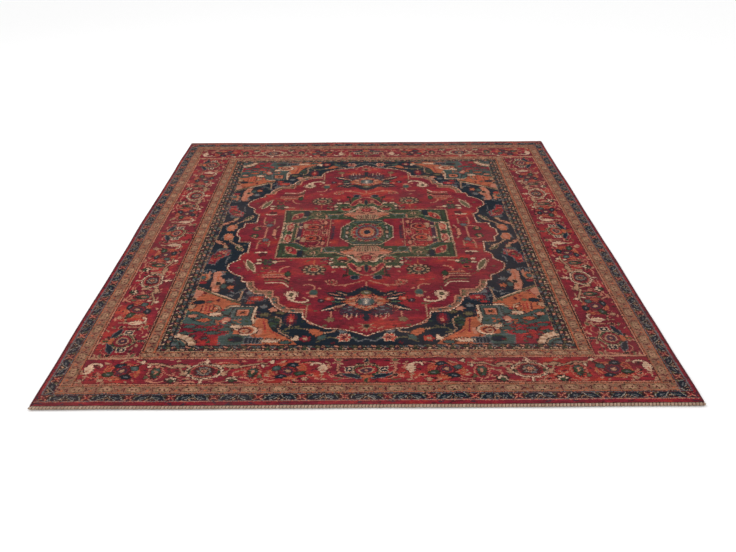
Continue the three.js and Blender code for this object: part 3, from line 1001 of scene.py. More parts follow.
def motif_cartouche(m):
    """Ringed rosette in a pale frame with swept arms; mirrored about its middle."""
    arm = m.curve([(230, -48), (176, -46), (126, -26), (96, -30), (72, -40)], 8)
    m.fill(arm, "tan", edge="umber", edge_width=3)
    m.fill(m.leaf((130, -40), (66, -34), 22), "tan", edge="umber", edge_width=3, teeth=3)
    m.fill(m.curve([(96, -26), (90, -6), (80, 0)], 7), "tan")
    double_frame = m.oval(0, 2, 72, 50)
    m.fill(double_frame, "ivory", edge="umber", edge_width=3, teeth=4)
    m.fill(double_frame + 6, "umber")
    m.fill(double_frame + 10, "salmon", teeth=2)
    m.fill(double_frame + 14, "crimson")
    m.fill(m.block(78, 16, 10, 14), "tan", edge="umber", edge_width=3, teeth=3)
    m.fill(m.block(66, -34, 7, 9), "tan")
    m.fill(m.leaf((54, -8), (54, 20), 9), "green")
    m.fill(m.line([(0, -48), (0, -84)], 9), "ivory", edge="wine", edge_width=3)
    m.fill(m.line([(-12, -62), (12, -62)], 7), "ivory")
    m.fill(m.line([(0, 52), (0, 78)], 8), "ivory", edge="wine", edge_width=3)
    m.fill(m.oval(0, 0, 42, 31), "umber", teeth=4)
    m.fill(m.oval(0, 0, 39, 28), "wine", teeth=3)
    m.fill(m.petals(0, 0, 28, 8, 0.12), "slate", edge="umber", edge_width=3)
    m.fill(m.petals(0, 0, 20, 8, 0.2), "umber", edge="tan", edge_width=3)
    m.fill(m.petals(0, 0, 11, 6, 0.12), "salmon")
    m.fill(m.oval(0, 0, 4), "wine")
    # dark and pale flourish
    m.fill(m.oval(113, 58, 26, 22), "umber", teeth=5)
    m.fill(m.petals(113, 58, 20, 5, 0.3), "ivory", teeth=3)
    m.fill(m.oval(113, 66, 9, 10), "green", edge="umber", edge_width=3)
    m.fill(m.leaf((113, 34), (113, 4), 9), "salmon")
    m.fill(m.curve([(30, 72), (64, 76), (90, 70)], 6), "salmon")
    m.fill(m.curve([(140, 68), (170, 76), (196, 70)], 6), "salmon")


MAIN_MOTIFS = [  # place as a share of the repeat, reach, motif
    (0.0, 140, motif_round_rosette),
    (0.138, 80, motif_hook),
    (0.245, 90, motif_leaf_rosette),
    (0.352, 75, motif_small_flower),
    (0.5, 235, motif_cartouche),
]
MAIN_REPEAT = {"end": 1250, "side": 1070}


def chart_main_border(c, kind, half_width):
    """Rosettes, hooks and cartouches along a waving stem on crimson, between two lines."""
    repeat = MAIN_REPEAT[kind]
    c.cover("crimson")
    from_line = half_width - abs(c.y)
    c.fill(from_line - 9, "umber")
    c.fill(from_line - 5, "salmon")
    # the drawing of the motifs is a little uneven
    uneven = 3 * waves(c.x, c.y, 4, 60, 200, 31)
    c.x = abs(c.x + 2 * zigzag(c.y, 5 * KNOT))
    c.y = c.y + uneven
    inside = c.part(from_line > 10)
    scatter_sprigs(inside, 260, 60, ("salmon", "wine", "tan", "umber", "brick"))
    stem_y = 0.62 * half_width * np.sin(inside.x * 8 * math.pi / repeat)
    inside.fill(abs(inside.y - stem_y) - 2, "salmon")
    for share, reach, motif in MAIN_MOTIFS:
        mirrored = share in (0.0, 0.5)
        motif(inside.at(share * repeat, 0, reach, mirror=mirrored))
        motif(inside.at((1 - share) * repeat, 0, reach, mirror=mirrored, flip=not mirrored))
    if kind == "side":
        closing_line = c.part(c.x > c.x.max() - 7)
        closing_line.cover("tan")


def chart_tan_border(c, half_width, period):
    """Faint rosettes between little red brackets on camel, inside a line along each edge."""
    c.cover("camel")
    from_line = half_width - abs(c.y)
    c.x = c.x - np.round(c.x / period) * period
    shaky = c.part(from_line > -9)
    shaky.y = shaky.y + 1.5 * zigzag(shaky.x, 4 * KNOT)
    shaky.x = abs(shaky.x)
    shaky.fill(shaky.oval(0, 0, 28, 0.62 * half_width), "bronze", teeth=4)
    shaky.fill(shaky.oval(0, 0, 20, 0.45 * half_width), "tan", teeth=4)
    shaky.fill(shaky.oval(9, 0, 4, 5), "wine")
    shaky.fill(shaky.oval(18, -0.5 * half_width, 5, 3), "umber")
    shaky.fill(shaky.oval(0, 0.5 * half_width, 6, 3), "umber")
    shaky.fill(shaky.curve([(32, -0.45 * half_width), (37, 0), (32, 0.45 * half_width)], 5), "wine")
    shaky.fill(shaky.oval(period / 2, 0.3 * half_width, 6, 5), "rust")
    shaky.fill(shaky.oval(period / 2, -0.4 * half_width, 5, 4), "olive")
    shaky.fill(shaky.oval(period / 2 - 9, 0, 3, 4), "wine")
    c.fill(from_line - 8, "rust")
    c.fill(from_line - 4, "umber")


def chart_guard(c, half_width, period):
    """Pairs of dark leaves leaning together, parted by small red crosses."""
    c.cover("umber")
    from_line = half_width - abs(c.y)
    c.x = abs(c.x - np.round(c.x / period) * period)
    reach = 0.66 * half_width
    length = 0.36 * period
    leaf = c.leaf((4, -reach), (length, reach), 1.25 * half_width, -3)
    c.fill(leaf, "navy", edge="stone", edge_width=3)
    c.fill(c.leaf((16, -reach * 0.4), (length - 14, reach * 0.4), 6), "slate")
    c.fill(c.diamond(0, reach * 0.7, 10, 8), "navy", edge="tan", edge_width=3)
    c.fill(c.oval(length * 0.9, -reach * 0.7, 7, 4), "olive")
    cross_x = period / 2
    c.fill(c.block(cross_x, 0, 0.1 * period, half_width), "wine")
    for arm in (reach, -reach):
        c.fill(c.line([(cross_x, 0), (cross_x - 15, arm)], 5), "salmon")
    c.fill(c.diamond(cross_x, 0, 7, 6), "brick")
    c.fill(c.diamond(cross_x, reach, 5, 5), "navy")
    c.fill(from_line - 7, "wine")
    c.fill(from_line - 4, "slate")


def chart_inner_guard(c, half_width, period):
    """Small many-coloured leaves on navy, in pairs that lean together."""
    c.cover("navy")
    c.x = c.x - np.round(c.x / period) * period
    yarns = ("teal", "tan", "salmon", "green", "slate", "wine", "olive", "aubergine")
    spacing = period / len(yarns)
    for place, yarn in enumerate(yarns):
        odd = place % 2
        x = (place - 3.5) * spacing
        y = 0.4 * half_width * (1 if odd else -1)
        c.fill(c.leaf((x - 10, -y - 6), (x + 10, -y + 6), 12), yarns[place - 3], edge="umber")
        c.fill(c.leaf((x - 9, y + 7), (x + 9, y - 7), 11), yarn, edge="umber")
        c.fill(c.oval(x + spacing / 2, 0, 4, 4), yarns[place - 5])
        c.fill(c.oval(x, y, 3, 4), "ivory" if odd else "navy")
        c.fill(c.oval(x + spacing / 2, -y, 3, 3), "salmon" if odd else "ivory")
    c.fill(half_width - c.y - 7, "umber")
    c.fill(half_width - c.y - 4, "tan")


def chart_band(band, kind, c, half_width, from_edge):
    """One length of a band: x runs along it, and y outwards from its middle."""
    if band == "outer_band":
        c.cover("crimson")
        scatter_sprigs(c, 90, 61, ("wine", "claret", "aubergine", "brick"))
        if kind == "end":
            c.fill(from_edge - 4, "salmon")
    elif band == "outer_guard":
        chart_guard(c, half_width, period=158)
    elif band == "outer_tan_border":
        chart_tan_border(c, half_width, period=108)
    elif band == "main_border":
        chart_main_border(c, kind, half_width)
    elif band == "inner_tan_border":
        chart_tan_border(c, half_width, period=96)
    else:
        chart_inner_guard(c, half_width, period=150)


# ---- The knots ----

def knot_grid():
    """Corner lines of the knots, as two lists in millimetres."""
    columns = round(2 * PILE_HALF_WIDTH / KNOT)
    rows = round(2 * PILE_HALF_LENGTH / KNOT)
    return (np.linspace(-PILE_HALF_WIDTH, PILE_HALF_WIDTH, columns + 1),
            np.linspace(-PILE_HALF_LENGTH, PILE_HALF_LENGTH, rows + 1))


def inside_outline(x, y, points):
    """True where the point lies inside the closed outline."""
    chart = Chart(x.ravel(), y.ravel(), None, None)
    return (chart.outline(points) < 0).reshape(x.shape)


def waves(x, y, count, shortest, longest, seed):
    """A smooth random surface of about -1 to 1: the sum of `count` sine waves of random lengths."""
    random = np.random.default_rng(seed)
    total = np.zeros(np.broadcast(x, y).shape)
    for _ in range(count):
        angle = random.uniform(0, math.pi)
        length = random.uniform(shortest, longest)
        phase = random.uniform(0, 2 * math.pi)
        total += np.sin((x * math.cos(angle) + y * math.sin(angle)) * 2 * math.pi / length + phase)
    return total / math.sqrt(count)


def inside_size(ax, ay, size):
    """True where a knot lies within a half width and half length, and the 1 mm that clears the gap."""
    return (ax < size[0] + 1) & (ay < size[1] + 1)


def band_sizes():
    """Each band with the half width and half length of its outer and inner edges."""
    sizes = [band_outer(band) for band in BANDS] + [field_size()]
    return list(zip(BANDS, sizes[:-1], sizes[1:]))


def sort_knots(x, y):
    """Which CAD node each knot belongs to, as {node: mask}, and the medallion and corner masks."""
    ax, ay = abs(x), abs(y)
    nodes = {}
    for band, outer, inner in band_sizes():
        in_band = inside_size(ax, ay, outer) & ~inside_size(ax, ay, inner)
        end = in_band & (ay >= inner[1] + 1)
        side = in_band & ~end
        nodes[f"{band}_near"] = end & (y < 0)
        nodes[f"{band}_far"] = end & (y > 0)
        nodes[f"{band}_left"] = side & (x < 0)
        nodes[f"{band}_right"] = side & (x > 0)
    field = inside_size(ax, ay, field_size())
    medallion_quarter = np.vstack([quarter_points(MEDALLION_QUARTER), MEDALLION_CLOSING])
    corner_quarter = np.vstack([quarter_points(CORNER_PIECE_EDGE), CORNER_PIECE_CLOSING])
    medallion = field & inside_outline(ax, ay, medallion_quarter)
    corner = field & inside_outline(ax, ay, corner_quarter)
    nodes["medallion"] = medallion
    nodes["field_ground"] = field & ~medallion & ~corner
    for name in CORNERS:
        end, side = name.split("_")
        at_end = (y < 0) if end == "near" else (y > 0)
        on_side = (x < 0) if side == "left" else (x > 0)
        nodes[f"corner_piece_{name}"] = corner & at_end & on_side
    return nodes, medallion, corner


def chart_rug(x, y):
    """One yarn number per knot, and each CAD node's knots."""
    nodes, medallion, corner = sort_knots(x, y)
    yarn = np.full(x.shape, YARN_NUMBER["crimson"])
    # the weaver's hand drifts a few millimetres from the chart
    drawn_x = x + 3.5 * waves(x, y, 5, 500, 1400, 3) + 1.6 * zigzag(y, 6 * KNOT)
    drawn_y = y + 4.0 * waves(x, y, 5, 500, 1400, 4) + 1.6 * zigzag(x, 5 * KNOT)

    field = medallion | corner | nodes["field_ground"]
    laid = yarn[field]
    chart_field(drawn_x[field], drawn_y[field], laid, medallion[field], corner[field])
    yarn[field] = laid

    for band, outer, inner in band_sizes():
        for side in SIDES:
            mask = nodes[f"{band}_{side}"]
            is_end = side in ("near", "far")
            axis = 1 if is_end else 0
            middle = (outer[axis] + inner[axis]) / 2
            half = (outer[axis] - inner[axis]) / 2
            along, across = (drawn_x, y) if is_end else (drawn_y, x)
            outward = abs(across[mask]) - middle
            laid = yarn[mask]
            chart = Chart(along[mask].copy(), outward, laid, np.arange(mask.sum()))
            chart_band(band, "end" if is_end else "side", chart, half, outward + half)
            yarn[mask] = laid
    return stray_knots(dye_lots(yarn, x, y), STRAY_SHARE), nodes


def dye_lots(yarn, x, y):
    """Abrash: the reds change with the dye lot from one group of rows to the next."""
    row = RANDOM.normal(0, 0.3, (len(yarn), 1))
    long_bands = 0.55 * waves(0.04 * x, y, 8, 60, 700, 11)
    short_bands = 1.2 * waves(0.55 * x, y, 14, 50, 360, 12)
    lot = np.round(long_bands + short_bands + row).astype(int)
    reds = np.isin(yarn, RED_LOTS)
    crimson_place = 1
    place = np.where(yarn == RED_LOTS[crimson_place], crimson_place, crimson_place + 1) + lot
    return np.where(reds, np.array(RED_LOTS)[np.clip(place, 0, len(RED_LOTS) - 1)], yarn)


def stray_knots(yarn, share):
    """Some knots take the yarn of a neighbour, as they do in handwork."""
    rows, columns = yarn.shape
    strays = RANDOM.uniform(size=yarn.shape) < share
    r, c = np.nonzero(strays)
    near_r = np.clip(r + RANDOM.integers(-1, 2, len(r)), 0, rows - 1)
    near_c = np.clip(c + RANDOM.integers(-1, 2, len(c)), 0, columns - 1)
    mixed = yarn.copy()
    mixed[r, c] = yarn[near_r, near_c]
    return mixed


# ---- Settling on the floor ----

def ripple(x, y, at_x, slant):
    """A low fold, left by shipping, that runs in from the near end and dies away."""
    height = 3.5
    width = 24
    length = 600
    flat_end = 60
    from_end = RUG_HALF_LENGTH + y
    away = x - at_x - slant * from_end
    fade = np.clip(2 - 2 * from_end / length, 0, 1) * np.clip(from_end / flat_end, 0, 1)
    return height * fade * np.exp(-((away / width) ** 2))


def settle(points):
    """Moves flat rug points, in millimetres, to where the rug lies, in metres."""
    x, y, z = points[:, 0], points[:, 1], points[:, 2]
    # how near an edge each point is, from 0 at this many millimetres inside it to 1 on it
    edge_reach = 260
    to_side = np.clip(1 - (RUG_HALF_WIDTH - abs(x)) / edge_reach, 0, 1)
    to_end = np.clip(1 - (RUG_HALF_LENGTH - abs(y)) / edge_reach, 0, 1)
    # low waves everywhere, edges that lift a little, and two folds
    lift = 0.7 * (1 + waves(x, y, 6, 320, 900, 21) / 2.2)
    lift = lift + 1.5 * to_side**2 * (1 + waves(0 * x, y, 4, 240, 700, 22) / 2)
    lift = lift + 1.2 * to_end**2 * (1 + waves(x, 0 * y, 4, 240, 700, 23) / 2)
    lift = lift + ripple(x, y, -985, 0.22) + ripple(x, y, 372, -0.3)
    # long edges that bow, the left one more than the right, and edges that aren't quite straight
    bow = 4.0 * np.cos(y / RUG_HALF_LENGTH * math.pi / 2) - 3.0
    side_drift = 1.2 * waves(0 * x, y, 4, 400, 1500, 24) * to_side
    end_drift = 1.0 * waves(x, 0 * y, 4, 400, 1500, 25) * to_end
    settled_x = x + np.where(x < 0, -bow, 0.4 * bow) * (abs(x) / RUG_HALF_WIDTH) + side_drift
    settled_y = y + end_drift
    return np.stack([settled_x, settled_y, z + np.clip(lift, 0, None)], 1) * MM


# ---- Meshes ----

def new_piece(name, points, faces, material):
    """A smooth mesh object from settled points and an array of quads."""
    mesh = bpy.data.meshes.new(name)
    faces = np.asarray(faces, np.int32)
    corners = faces.shape[1]
    mesh.vertices.add(len(points))
    mesh.vertices.foreach_set("co", np.asarray(points, np.float32).ravel())
    mesh.loops.add(faces.size)
    mesh.loops.foreach_set("vertex_index", faces.ravel())
    mesh.polygons.add(len(faces))
    mesh.polygons.foreach_set("loop_start", np.arange(0, faces.size, corners, dtype=np.int32))
    mesh.polygons.foreach_set("loop_total", np.full(len(faces), corners, np.int32))
    mesh.polygons.foreach_set("use_smooth", np.full(len(faces), True))
    mesh.materials.append(material)
    mesh.update(calc_edges=True)
    mesh.validate()
    piece = bpy.data.objects.new(name, mesh)
    bpy.context.scene.collection.objects.link(piece)
    return piece


def set_face_values(piece, name, values):
    """Stores one number per face, for the material to read."""
    layer = piece.data.attributes.new(name, "FLOAT", "FACE")
    layer.data.foreach_set("value", np.asarray(values, np.float32))


def grid_faces(mask):
    """Quads of the masked cells, and the grid points they use."""
    columns = mask.shape[1]
    r, c = np.nonzero(mask)
    low = r * (columns + 1) + c
    quads = np.stack([low, low + 1, low + columns + 2, low + columns + 1], 1)
    used, renumbered = np.unique(quads, return_inverse=True)
    return renumbered.reshape(quads.shape), used


TUFT_SINK = 0.5  # how far the middle of the tufts lies below the CAD pile's top
TUFT_UNEVENNESS = 0.3


def knot_tones(shape):
    """How light each knot is, from 0 to 1, in short streaks along the rows."""
    streaks = RANDOM.uniform(-1, 1, shape)
    for _ in range(3):
        streaks = streaks + np.roll(streaks, 2, axis=1)
    return np.clip(0.5 + 0.28 * RANDOM.uniform(-1, 1, shape) + 0.09 * streaks, 0, 1)


def make_pile(xs, ys, yarn, nodes, material):
    """One sheet of knots for each CAD pile node."""
    gx, gy = np.meshgrid(xs, ys)
    tuft = RANDOM.uniform(-TUFT_UNEVENNESS, TUFT_UNEVENNESS, gx.shape)
    height = PILE_TOP - TUFT_SINK + tuft
    settled = settle(np.stack([gx.ravel(), gy.ravel(), height.ravel()], 1))
    tone = knot_tones(yarn.shape)
    for node, mask in nodes.items():
        quads, used = grid_faces(mask)
        piece = new_piece(f"{node}_pile", settled[used], quads, material)
        set_face_values(piece, "yarn", yarn[mask])
        set_face_values(piece, "tone", tone[mask])
        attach(piece, "root")
        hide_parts(node)


def border_ring(cells_x, cells_y):
    """The grid's outer points in order, anticlockwise from its first."""
    return np.concatenate([
        np.arange(cells_x + 1),
        np.arange(2, cells_y + 2) * (cells_x + 1) - 1,
        (cells_y + 1) * (cells_x + 1) - 2 - np.arange(cells_x),
        np.arange(cells_y - 1, 0, -1) * (cells_x + 1),
    ])


def make_foundation(xs, ys, yarn, material):
    """The woven ground, a closed slab whose underside shows the backs of the knots."""
    step = 3  # knots to one cell of the slab
    underside = 0.15  # clear of the floor
    cells_x = (len(xs) - 1) // step
    cells_y = (len(ys) - 1) // step
    half_x = box_mm("foundation")[1][0]
    half_y = box_mm("foundation")[1][1]
    columns = np.linspace(-half_x, half_x, cells_x + 1)
    rows = np.linspace(-half_y, half_y, cells_y + 1)
    gx, gy = np.meshgrid(columns, rows)
    layers = [np.stack([gx.ravel(), gy.ravel(), np.full(gx.size, z)], 1) for z in (underside, FOUNDATION_TOP)]
    quads, _ = grid_faces(np.ones((cells_y, cells_x), bool))
    ring = border_ring(cells_x, cells_y)
    ahead = np.roll(ring, -1)
    walls = np.stack([ring, ahead, ahead + gx.size, ring + gx.size], 1)
    faces = np.vstack([quads[:, ::-1], quads + gx.size, walls])
    piece = new_piece("woven_foundation", settle(np.vstack(layers)), faces, material)
    back = yarn[step // 2::step, step // 2::step][:cells_y, :cells_x]
    cotton = np.full(back.size + len(walls), -1)
    set_face_values(piece, "yarn", np.concatenate([back.ravel(), cotton]))
    set_face_values(piece, "tone", RANDOM.uniform(0, 1, 2 * back.size + len(walls)))
    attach(piece, "root")
    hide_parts("foundation")
    return piece


RINGS_PER_TURN = 4
POINTS_AROUND = 12
TURN_UNEVENNESS = 0.035
GAP_DEPTH = 0.22
TAPER_LENGTH = 10
TAPERED_END = 0.62  # the winding's size at its ends
FLOOR_CLEARANCE = 0.1
OVERCAST_STYLE = {"pitch": 3.2, "slant": 2.0, "groove": 0.2, "group": 1}
WHIP_STITCH_STYLE = {"pitch": 4.3, "slant": 3.0, "groove": 0.22, "group": 3}


def oval_section(width, height, count):
    """A flattened round section about its own middle, as its points' x and y."""
    angle = np.linspace(0, 2 * math.pi, count, endpoint=False)
    squareness = 0.72  # 1 is an oval, and less is squarer
    across = np.sign(np.cos(angle)) * abs(np.cos(angle)) ** squareness * width / 2
    up = np.sign(np.sin(angle)) * abs(np.sin(angle)) ** squareness * height / 2
    return across, up


def tube_faces(rings, around):
    """The quads round a tube of rings, and the quads that close its two ends."""
    base = np.arange(rings - 1)[:, None] * around
    here = np.arange(around)[None, :]
    ahead = (here + 1) % around
    walls = np.stack([base + here, base + ahead, base + around + ahead, base + around + here], -1)
    caps = []
    for first, flip in ((0, False), ((rings - 1) * around, True)):
        for k in range(around // 2 - 1):
            cap = [first + k, first + around - 1 - k, first + around - 2 - k, first + k + 1]
            caps.append(cap[::-1] if flip else cap)
    return walls.reshape(-1, 4), np.array(caps)


def ring_sizes(turn, ridge, position, length, style):
    """How thick the winding is at each ring: thin in its grooves, its gaps and at its tapered ends."""
    turn_size = 1 + RANDOM.uniform(-TURN_UNEVENNESS, TURN_UNEVENNESS, turn[-1] + 1)
    grow = (1 - style["groove"] * (1 - ridge)) * turn_size[turn]
    grow = grow * (1 - GAP_DEPTH * group_gaps(turn, style) * ridge)
    end_taper = np.clip(np.minimum(position, length - position) / TAPER_LENGTH, 0, 1)
    return grow * (TAPERED_END + (1 - TAPERED_END) * np.sqrt(end_taper))


def group_gaps(turn, style):
    """True for the turns that part one group of turns from the next."""
    return (style["group"] > 1) * (turn % style["group"] == 0)


def make_winding(name, node, core_node, material, style):
    """Yarn wound round an edge cord over the length of its CAD node, its turns drawn up in groups."""
    low, high = box_mm(node)
    size = [h - l for l, h in zip(low, high)]
    along_axis = 0 if size[0] > size[1] else 1
    across_axis = 1 - along_axis
    length, width, height = size[along_axis], size[across_axis], size[2]
    turns = round(length / style["pitch"])
    ring = np.arange(turns * RINGS_PER_TURN + 1)
    turn = ring // RINGS_PER_TURN
    ridge = np.abs(np.sin(ring * math.pi / RINGS_PER_TURN))
    position = ring / RINGS_PER_TURN * length / turns
    grow = ring_sizes(turn, ridge, position, length, style)

    across, up = oval_section(width, height, POINTS_AROUND)
    along = low[along_axis] + position[:, None] + style["slant"] * across[None, :] / width
    points = np.zeros((len(ring), POINTS_AROUND, 3))
    points[:, :, along_axis] = np.clip(along, low[along_axis], high[along_axis])
    middle = (low[across_axis] + high[across_axis]) / 2
    points[:, :, across_axis] = middle + across[None, :] * grow[:, None]
    points[:, :, 2] = np.maximum(height / 2 + up[None, :] * grow[:, None], FLOOR_CLEARANCE)
    walls, caps = tube_faces(len(ring), POINTS_AROUND)
    faces = np.vstack([walls, caps])
    if along_axis == 0:
        faces = faces[:, ::-1]
    piece = new_piece(name, settle(points.reshape(-1, 3)), faces, material)

    turn_tone = RANDOM.uniform(0, 1, turns + 1)
    tone = np.repeat(turn_tone[turn[:-1]], POINTS_AROUND)
    # where the painted groove shade goes: beside the ridge of every turn, and over the whole of each turn
    # that parts one group from the next
    beside_ridge = 1 - (ridge[:-1] + ridge[1:]) / 2
    groove = np.repeat(np.maximum(beside_ridge, group_gaps(turn, style)[:-1]), POINTS_AROUND)
    no_caps = np.zeros(len(caps))
    set_face_values(piece, "tone", np.concatenate([tone, no_caps]))
    set_face_values(piece, "groove", np.concatenate([groove, no_caps]))
    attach(piece, "root")
    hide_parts(node, core_node)
    return piece


# ---- Materials ----

def linear(rgb):
    """Linear colour, with its alpha, of an sRGB colour of 0 to 255."""
    channels = []
    for c in rgb:
        channels.append(((c / 255 + 0.055) / 1.055) ** 2.4 if c > 10 else c / 255 / 12.92)
    return channels + [1.0]


class Nodes:
    """Small helper for building one material's node tree."""

    def __init__(self, name):
        self.material = bpy.data.materials.new(name)
        self.material.use_nodes = True
        self.tree = self.material.node_tree
        self.shader = self.tree.nodes["Principled BSDF"]

    def add(self, kind, inputs=None, **settings):
        """A new node, its inputs linked or set, with any other settings."""
        node = self.tree.nodes.new(kind)
        for key, value in settings.items():
            setattr(node, key, value)
        for key, value in (inputs or {}).items():
            self.feed(node, key, value)
        return node

    def feed(self, node, key, value):
        """Links a socket to an input, or sets the input to a plain value."""
        if isinstance(value, bpy.types.NodeSocket):
            self.tree.links.new(value, node.inputs[key])
        else:
            node.inputs[key].default_value = value

    def math(self, operation, a, b=0.0):
        """The result of one sum on two values."""
        return self.add("ShaderNodeMath", {0: a, 1: b}, operation=operation).outputs[0]

    def blend(self, mode, factor, a, b):
        """Two colours mixed."""
        node = self.add("ShaderNodeMix", data_type="RGBA", blend_type=mode)
        for index, value in ((0, factor), (6, a), (7, b)):
            self.feed(node, index, value)
        return node.outputs[2]

    def shaded(self, colour, shade):
        """A colour made darker or lighter by a number."""
        grey = self.add("ShaderNodeCombineColor", {0: shade, 1: shade, 2: shade}).outputs[0]
        return self.blend("MULTIPLY", 1.0, colour, grey)

    def place(self, scale=(1, 1, 1)):
        """The place on the object, in metres times a scale for each axis."""
        where = self.add("ShaderNodeTexCoord").outputs["Object"]
        return self.add("ShaderNodeMapping", {"Vector": where, "Scale": scale}).outputs["Vector"]

    def noise(self, scale, detail=3.0, stretch=(1, 1, 1)):
        """Noise of 0 to 1."""
        inputs = {"Vector": self.place(stretch), "Scale": scale, "Detail": detail}
        return self.add("ShaderNodeTexNoise", inputs).outputs["Fac"]

    def threads(self, direction, scale, distortion, detail=2.0):
        """Parallel threads across one direction, as a wave of 0 to 1."""
        inputs = {"Vector": self.place(), "Scale": scale, "Distortion": distortion, "Detail": detail}
        return self.add("ShaderNodeTexWave", inputs, bands_direction=direction).outputs["Fac"]

    def ramp(self, value, low, high, to_low, to_high):
        """A value stretched from low..high to to_low..to_high, and held at those ends."""
        inputs = {0: value, 1: low, 2: high, 3: to_low, 4: to_high}
        return self.add("ShaderNodeMapRange", inputs).outputs[0]

    def attribute(self, name):
        """A number stored on each face."""
        return self.add("ShaderNodeAttribute", attribute_name=name).outputs["Fac"]

    def finish(self, colour, roughness, height, bump_depth, gloss):
        """Joins the colour, roughness and relief to the shader, and gives the material."""
        bump = self.add("ShaderNodeBump", {"Height": height, "Strength": 0.5, "Distance": bump_depth})
        self.tree.links.new(colour, self.shader.inputs["Base Color"])
        self.tree.links.new(roughness, self.shader.inputs["Roughness"])
        self.tree.links.new(bump.outputs["Normal"], self.shader.inputs["Normal"])
        self.shader.inputs["Specular IOR Level"].default_value = gloss
        return self.material


def yarn_colour(n):
    """The colour of each knot's yarn, from its number."""
    position = n.math("DIVIDE", n.math("ADD", n.attribute("yarn"), 0.5), float(len(YARNS)))
    ramp = n.add("ShaderNodeValToRGB", {0: position})
    ramp.color_ramp.interpolation = "CONSTANT"
    stops = ramp.color_ramp.elements
    while len(stops) < len(YARNS):
        stops.new(1.0)
    for number, (stop, rgb) in enumerate(zip(stops, YARNS.values())):
        stop.position = number / len(YARNS)
        stop.color = linear(rgb)
    return ramp.outputs["Color"]


def make_pile_material():
    """Low cut wool: dyed knots with abrash, wear and a fibrous nap."""
    n = Nodes("wool_pile")
    knot = n.ramp(n.attribute("tone"), 0.0, 1.0, 0.62, 1.38)
    bands = n.ramp(n.noise(1.0, 4.0, (0.5, 13.0, 1.0)), 0.3, 0.7, 0.86, 1.14)
    fibre = n.ramp(n.noise(520.0, 2.0), 0.25, 0.75, 0.82, 1.18)
    streaks = n.ramp(n.noise(1.0, 3.0, (24.0, 95.0, 1.0)), 0.3, 0.7, 0.78, 1.22)
    patches = n.ramp(n.noise(1.0, 3.0, (42.0, 26.0, 1.0)), 0.3, 0.7, 0.88, 1.12)
    tint = n.math("MULTIPLY", n.math("MULTIPLY", knot, bands), n.math("MULTIPLY", fibre, streaks))
    colour = n.shaded(yarn_colour(n), n.math("MULTIPLY", tint, patches))
    wear = n.ramp(n.noise(2.2, 5.0), 0.42, 0.75, 0.0, 0.10)
    colour = n.blend("MIX", wear, colour, linear((150, 112, 96)))
    roughness = n.ramp(n.noise(300.0, 2.0), 0.3, 0.7, 0.86, 1.0)
    nap = n.noise(430.0, 3.0, (1.0, 0.7, 1.0))
    rows = n.threads("Y", 2 * math.pi / (KNOT * MM) / 20, 1.5, 1.0)
    height = n.math("ADD", n.math("MULTIPLY", rows, 0.6), nap)
    n.shader.inputs["Sheen Weight"].default_value = 0.03
    n.shader.inputs["Sheen Roughness"].default_value = 0.5
    return n.finish(colour, roughness, height, bump_depth=0.0012, gloss=0.04)


def make_foundation_material():
    """Cotton warps and wefts, with the backs of the knots showing underneath."""
    n = Nodes("cotton_foundation")
    is_knot = n.math("GREATER_THAN", n.attribute("yarn"), -0.5)
    cotton = n.blend("MIX", n.noise(90.0, 4.0), linear((176, 156, 124)), linear((206, 190, 160)))
    colour = n.blend("MIX", is_knot, cotton, yarn_colour(n))
    weave = n.math("MULTIPLY", n.threads("X", 78.0, 0.6), n.threads("Y", 78.0, 0.8))
    colour = n.blend("MIX", n.ramp(weave, 0.0, 0.5, 0.45, 0.1), colour, cotton)
    roughness = n.ramp(weave, 0.0, 1.0, 1.0, 0.85)
    return n.finish(colour, roughness, weave, bump_depth=0.0008, gloss=0.1)


def make_winding_material(name, light, dark, groove_shade_colour):
    """Plied yarn wound round an edge, with painted shade in the grooves between the turns."""
    n = Nodes(name)
    turn = n.ramp(n.attribute("tone"), 0.0, 1.0, 0.0, 1.0)
    colour = n.blend("MIX", turn, linear(light), linear(dark))
    patches = n.ramp(n.noise(14.0, 3.0), 0.35, 0.7, 0.0, 0.35)
    colour = n.blend("MIX", patches, colour, linear(dark))
    # painted shade: the grooves between turns are darkened towards the groove shade colour; in the wider gaps
    # between groups it also stands for the darker ground showing through
    painted_groove_shade = n.ramp(n.attribute("groove"), 0.25, 0.8, 0.0, 0.85)
    colour = n.blend("MIX", painted_groove_shade, colour, linear(groove_shade_colour))
    fibre = n.noise(900.0, 2.0)
    colour = n.shaded(colour, n.ramp(fibre, 0.3, 0.7, 0.85, 1.12))
    roughness = n.ramp(fibre, 0.3, 0.7, 0.82, 0.98)
    n.shader.inputs["Sheen Weight"].default_value = 0.1
    return n.finish(colour, roughness, fibre, bump_depth=0.0006, gloss=0.12)


# ---- Floor, light and camera ----

def make_floor():
    """A plain pale floor, large enough to reach the horizon."""
    mesh = bpy.data.meshes.new("studio_floor")
    half = 60.0
    corners = [(-half, -half, 0), (half, -half, 0), (half, half, 0), (-half, half, 0)]
    mesh.from_pydata(corners, [], [(0, 1, 2, 3)])
    floor = bpy.data.objects.new("studio_floor", mesh)
    bpy.context.scene.collection.objects.link(floor)
    paint = bpy.data.materials.new("pale_floor")
    paint.use_nodes = True
    shader = paint.node_tree.nodes["Principled BSDF"]
    shader.inputs["Base Color"].default_value = (0.97, 0.97, 0.97, 1)
    shader.inputs["Roughness"].default_value = 0.9
    shader.inputs["Specular IOR Level"].default_value = 0.1
    mesh.materials.append(paint)


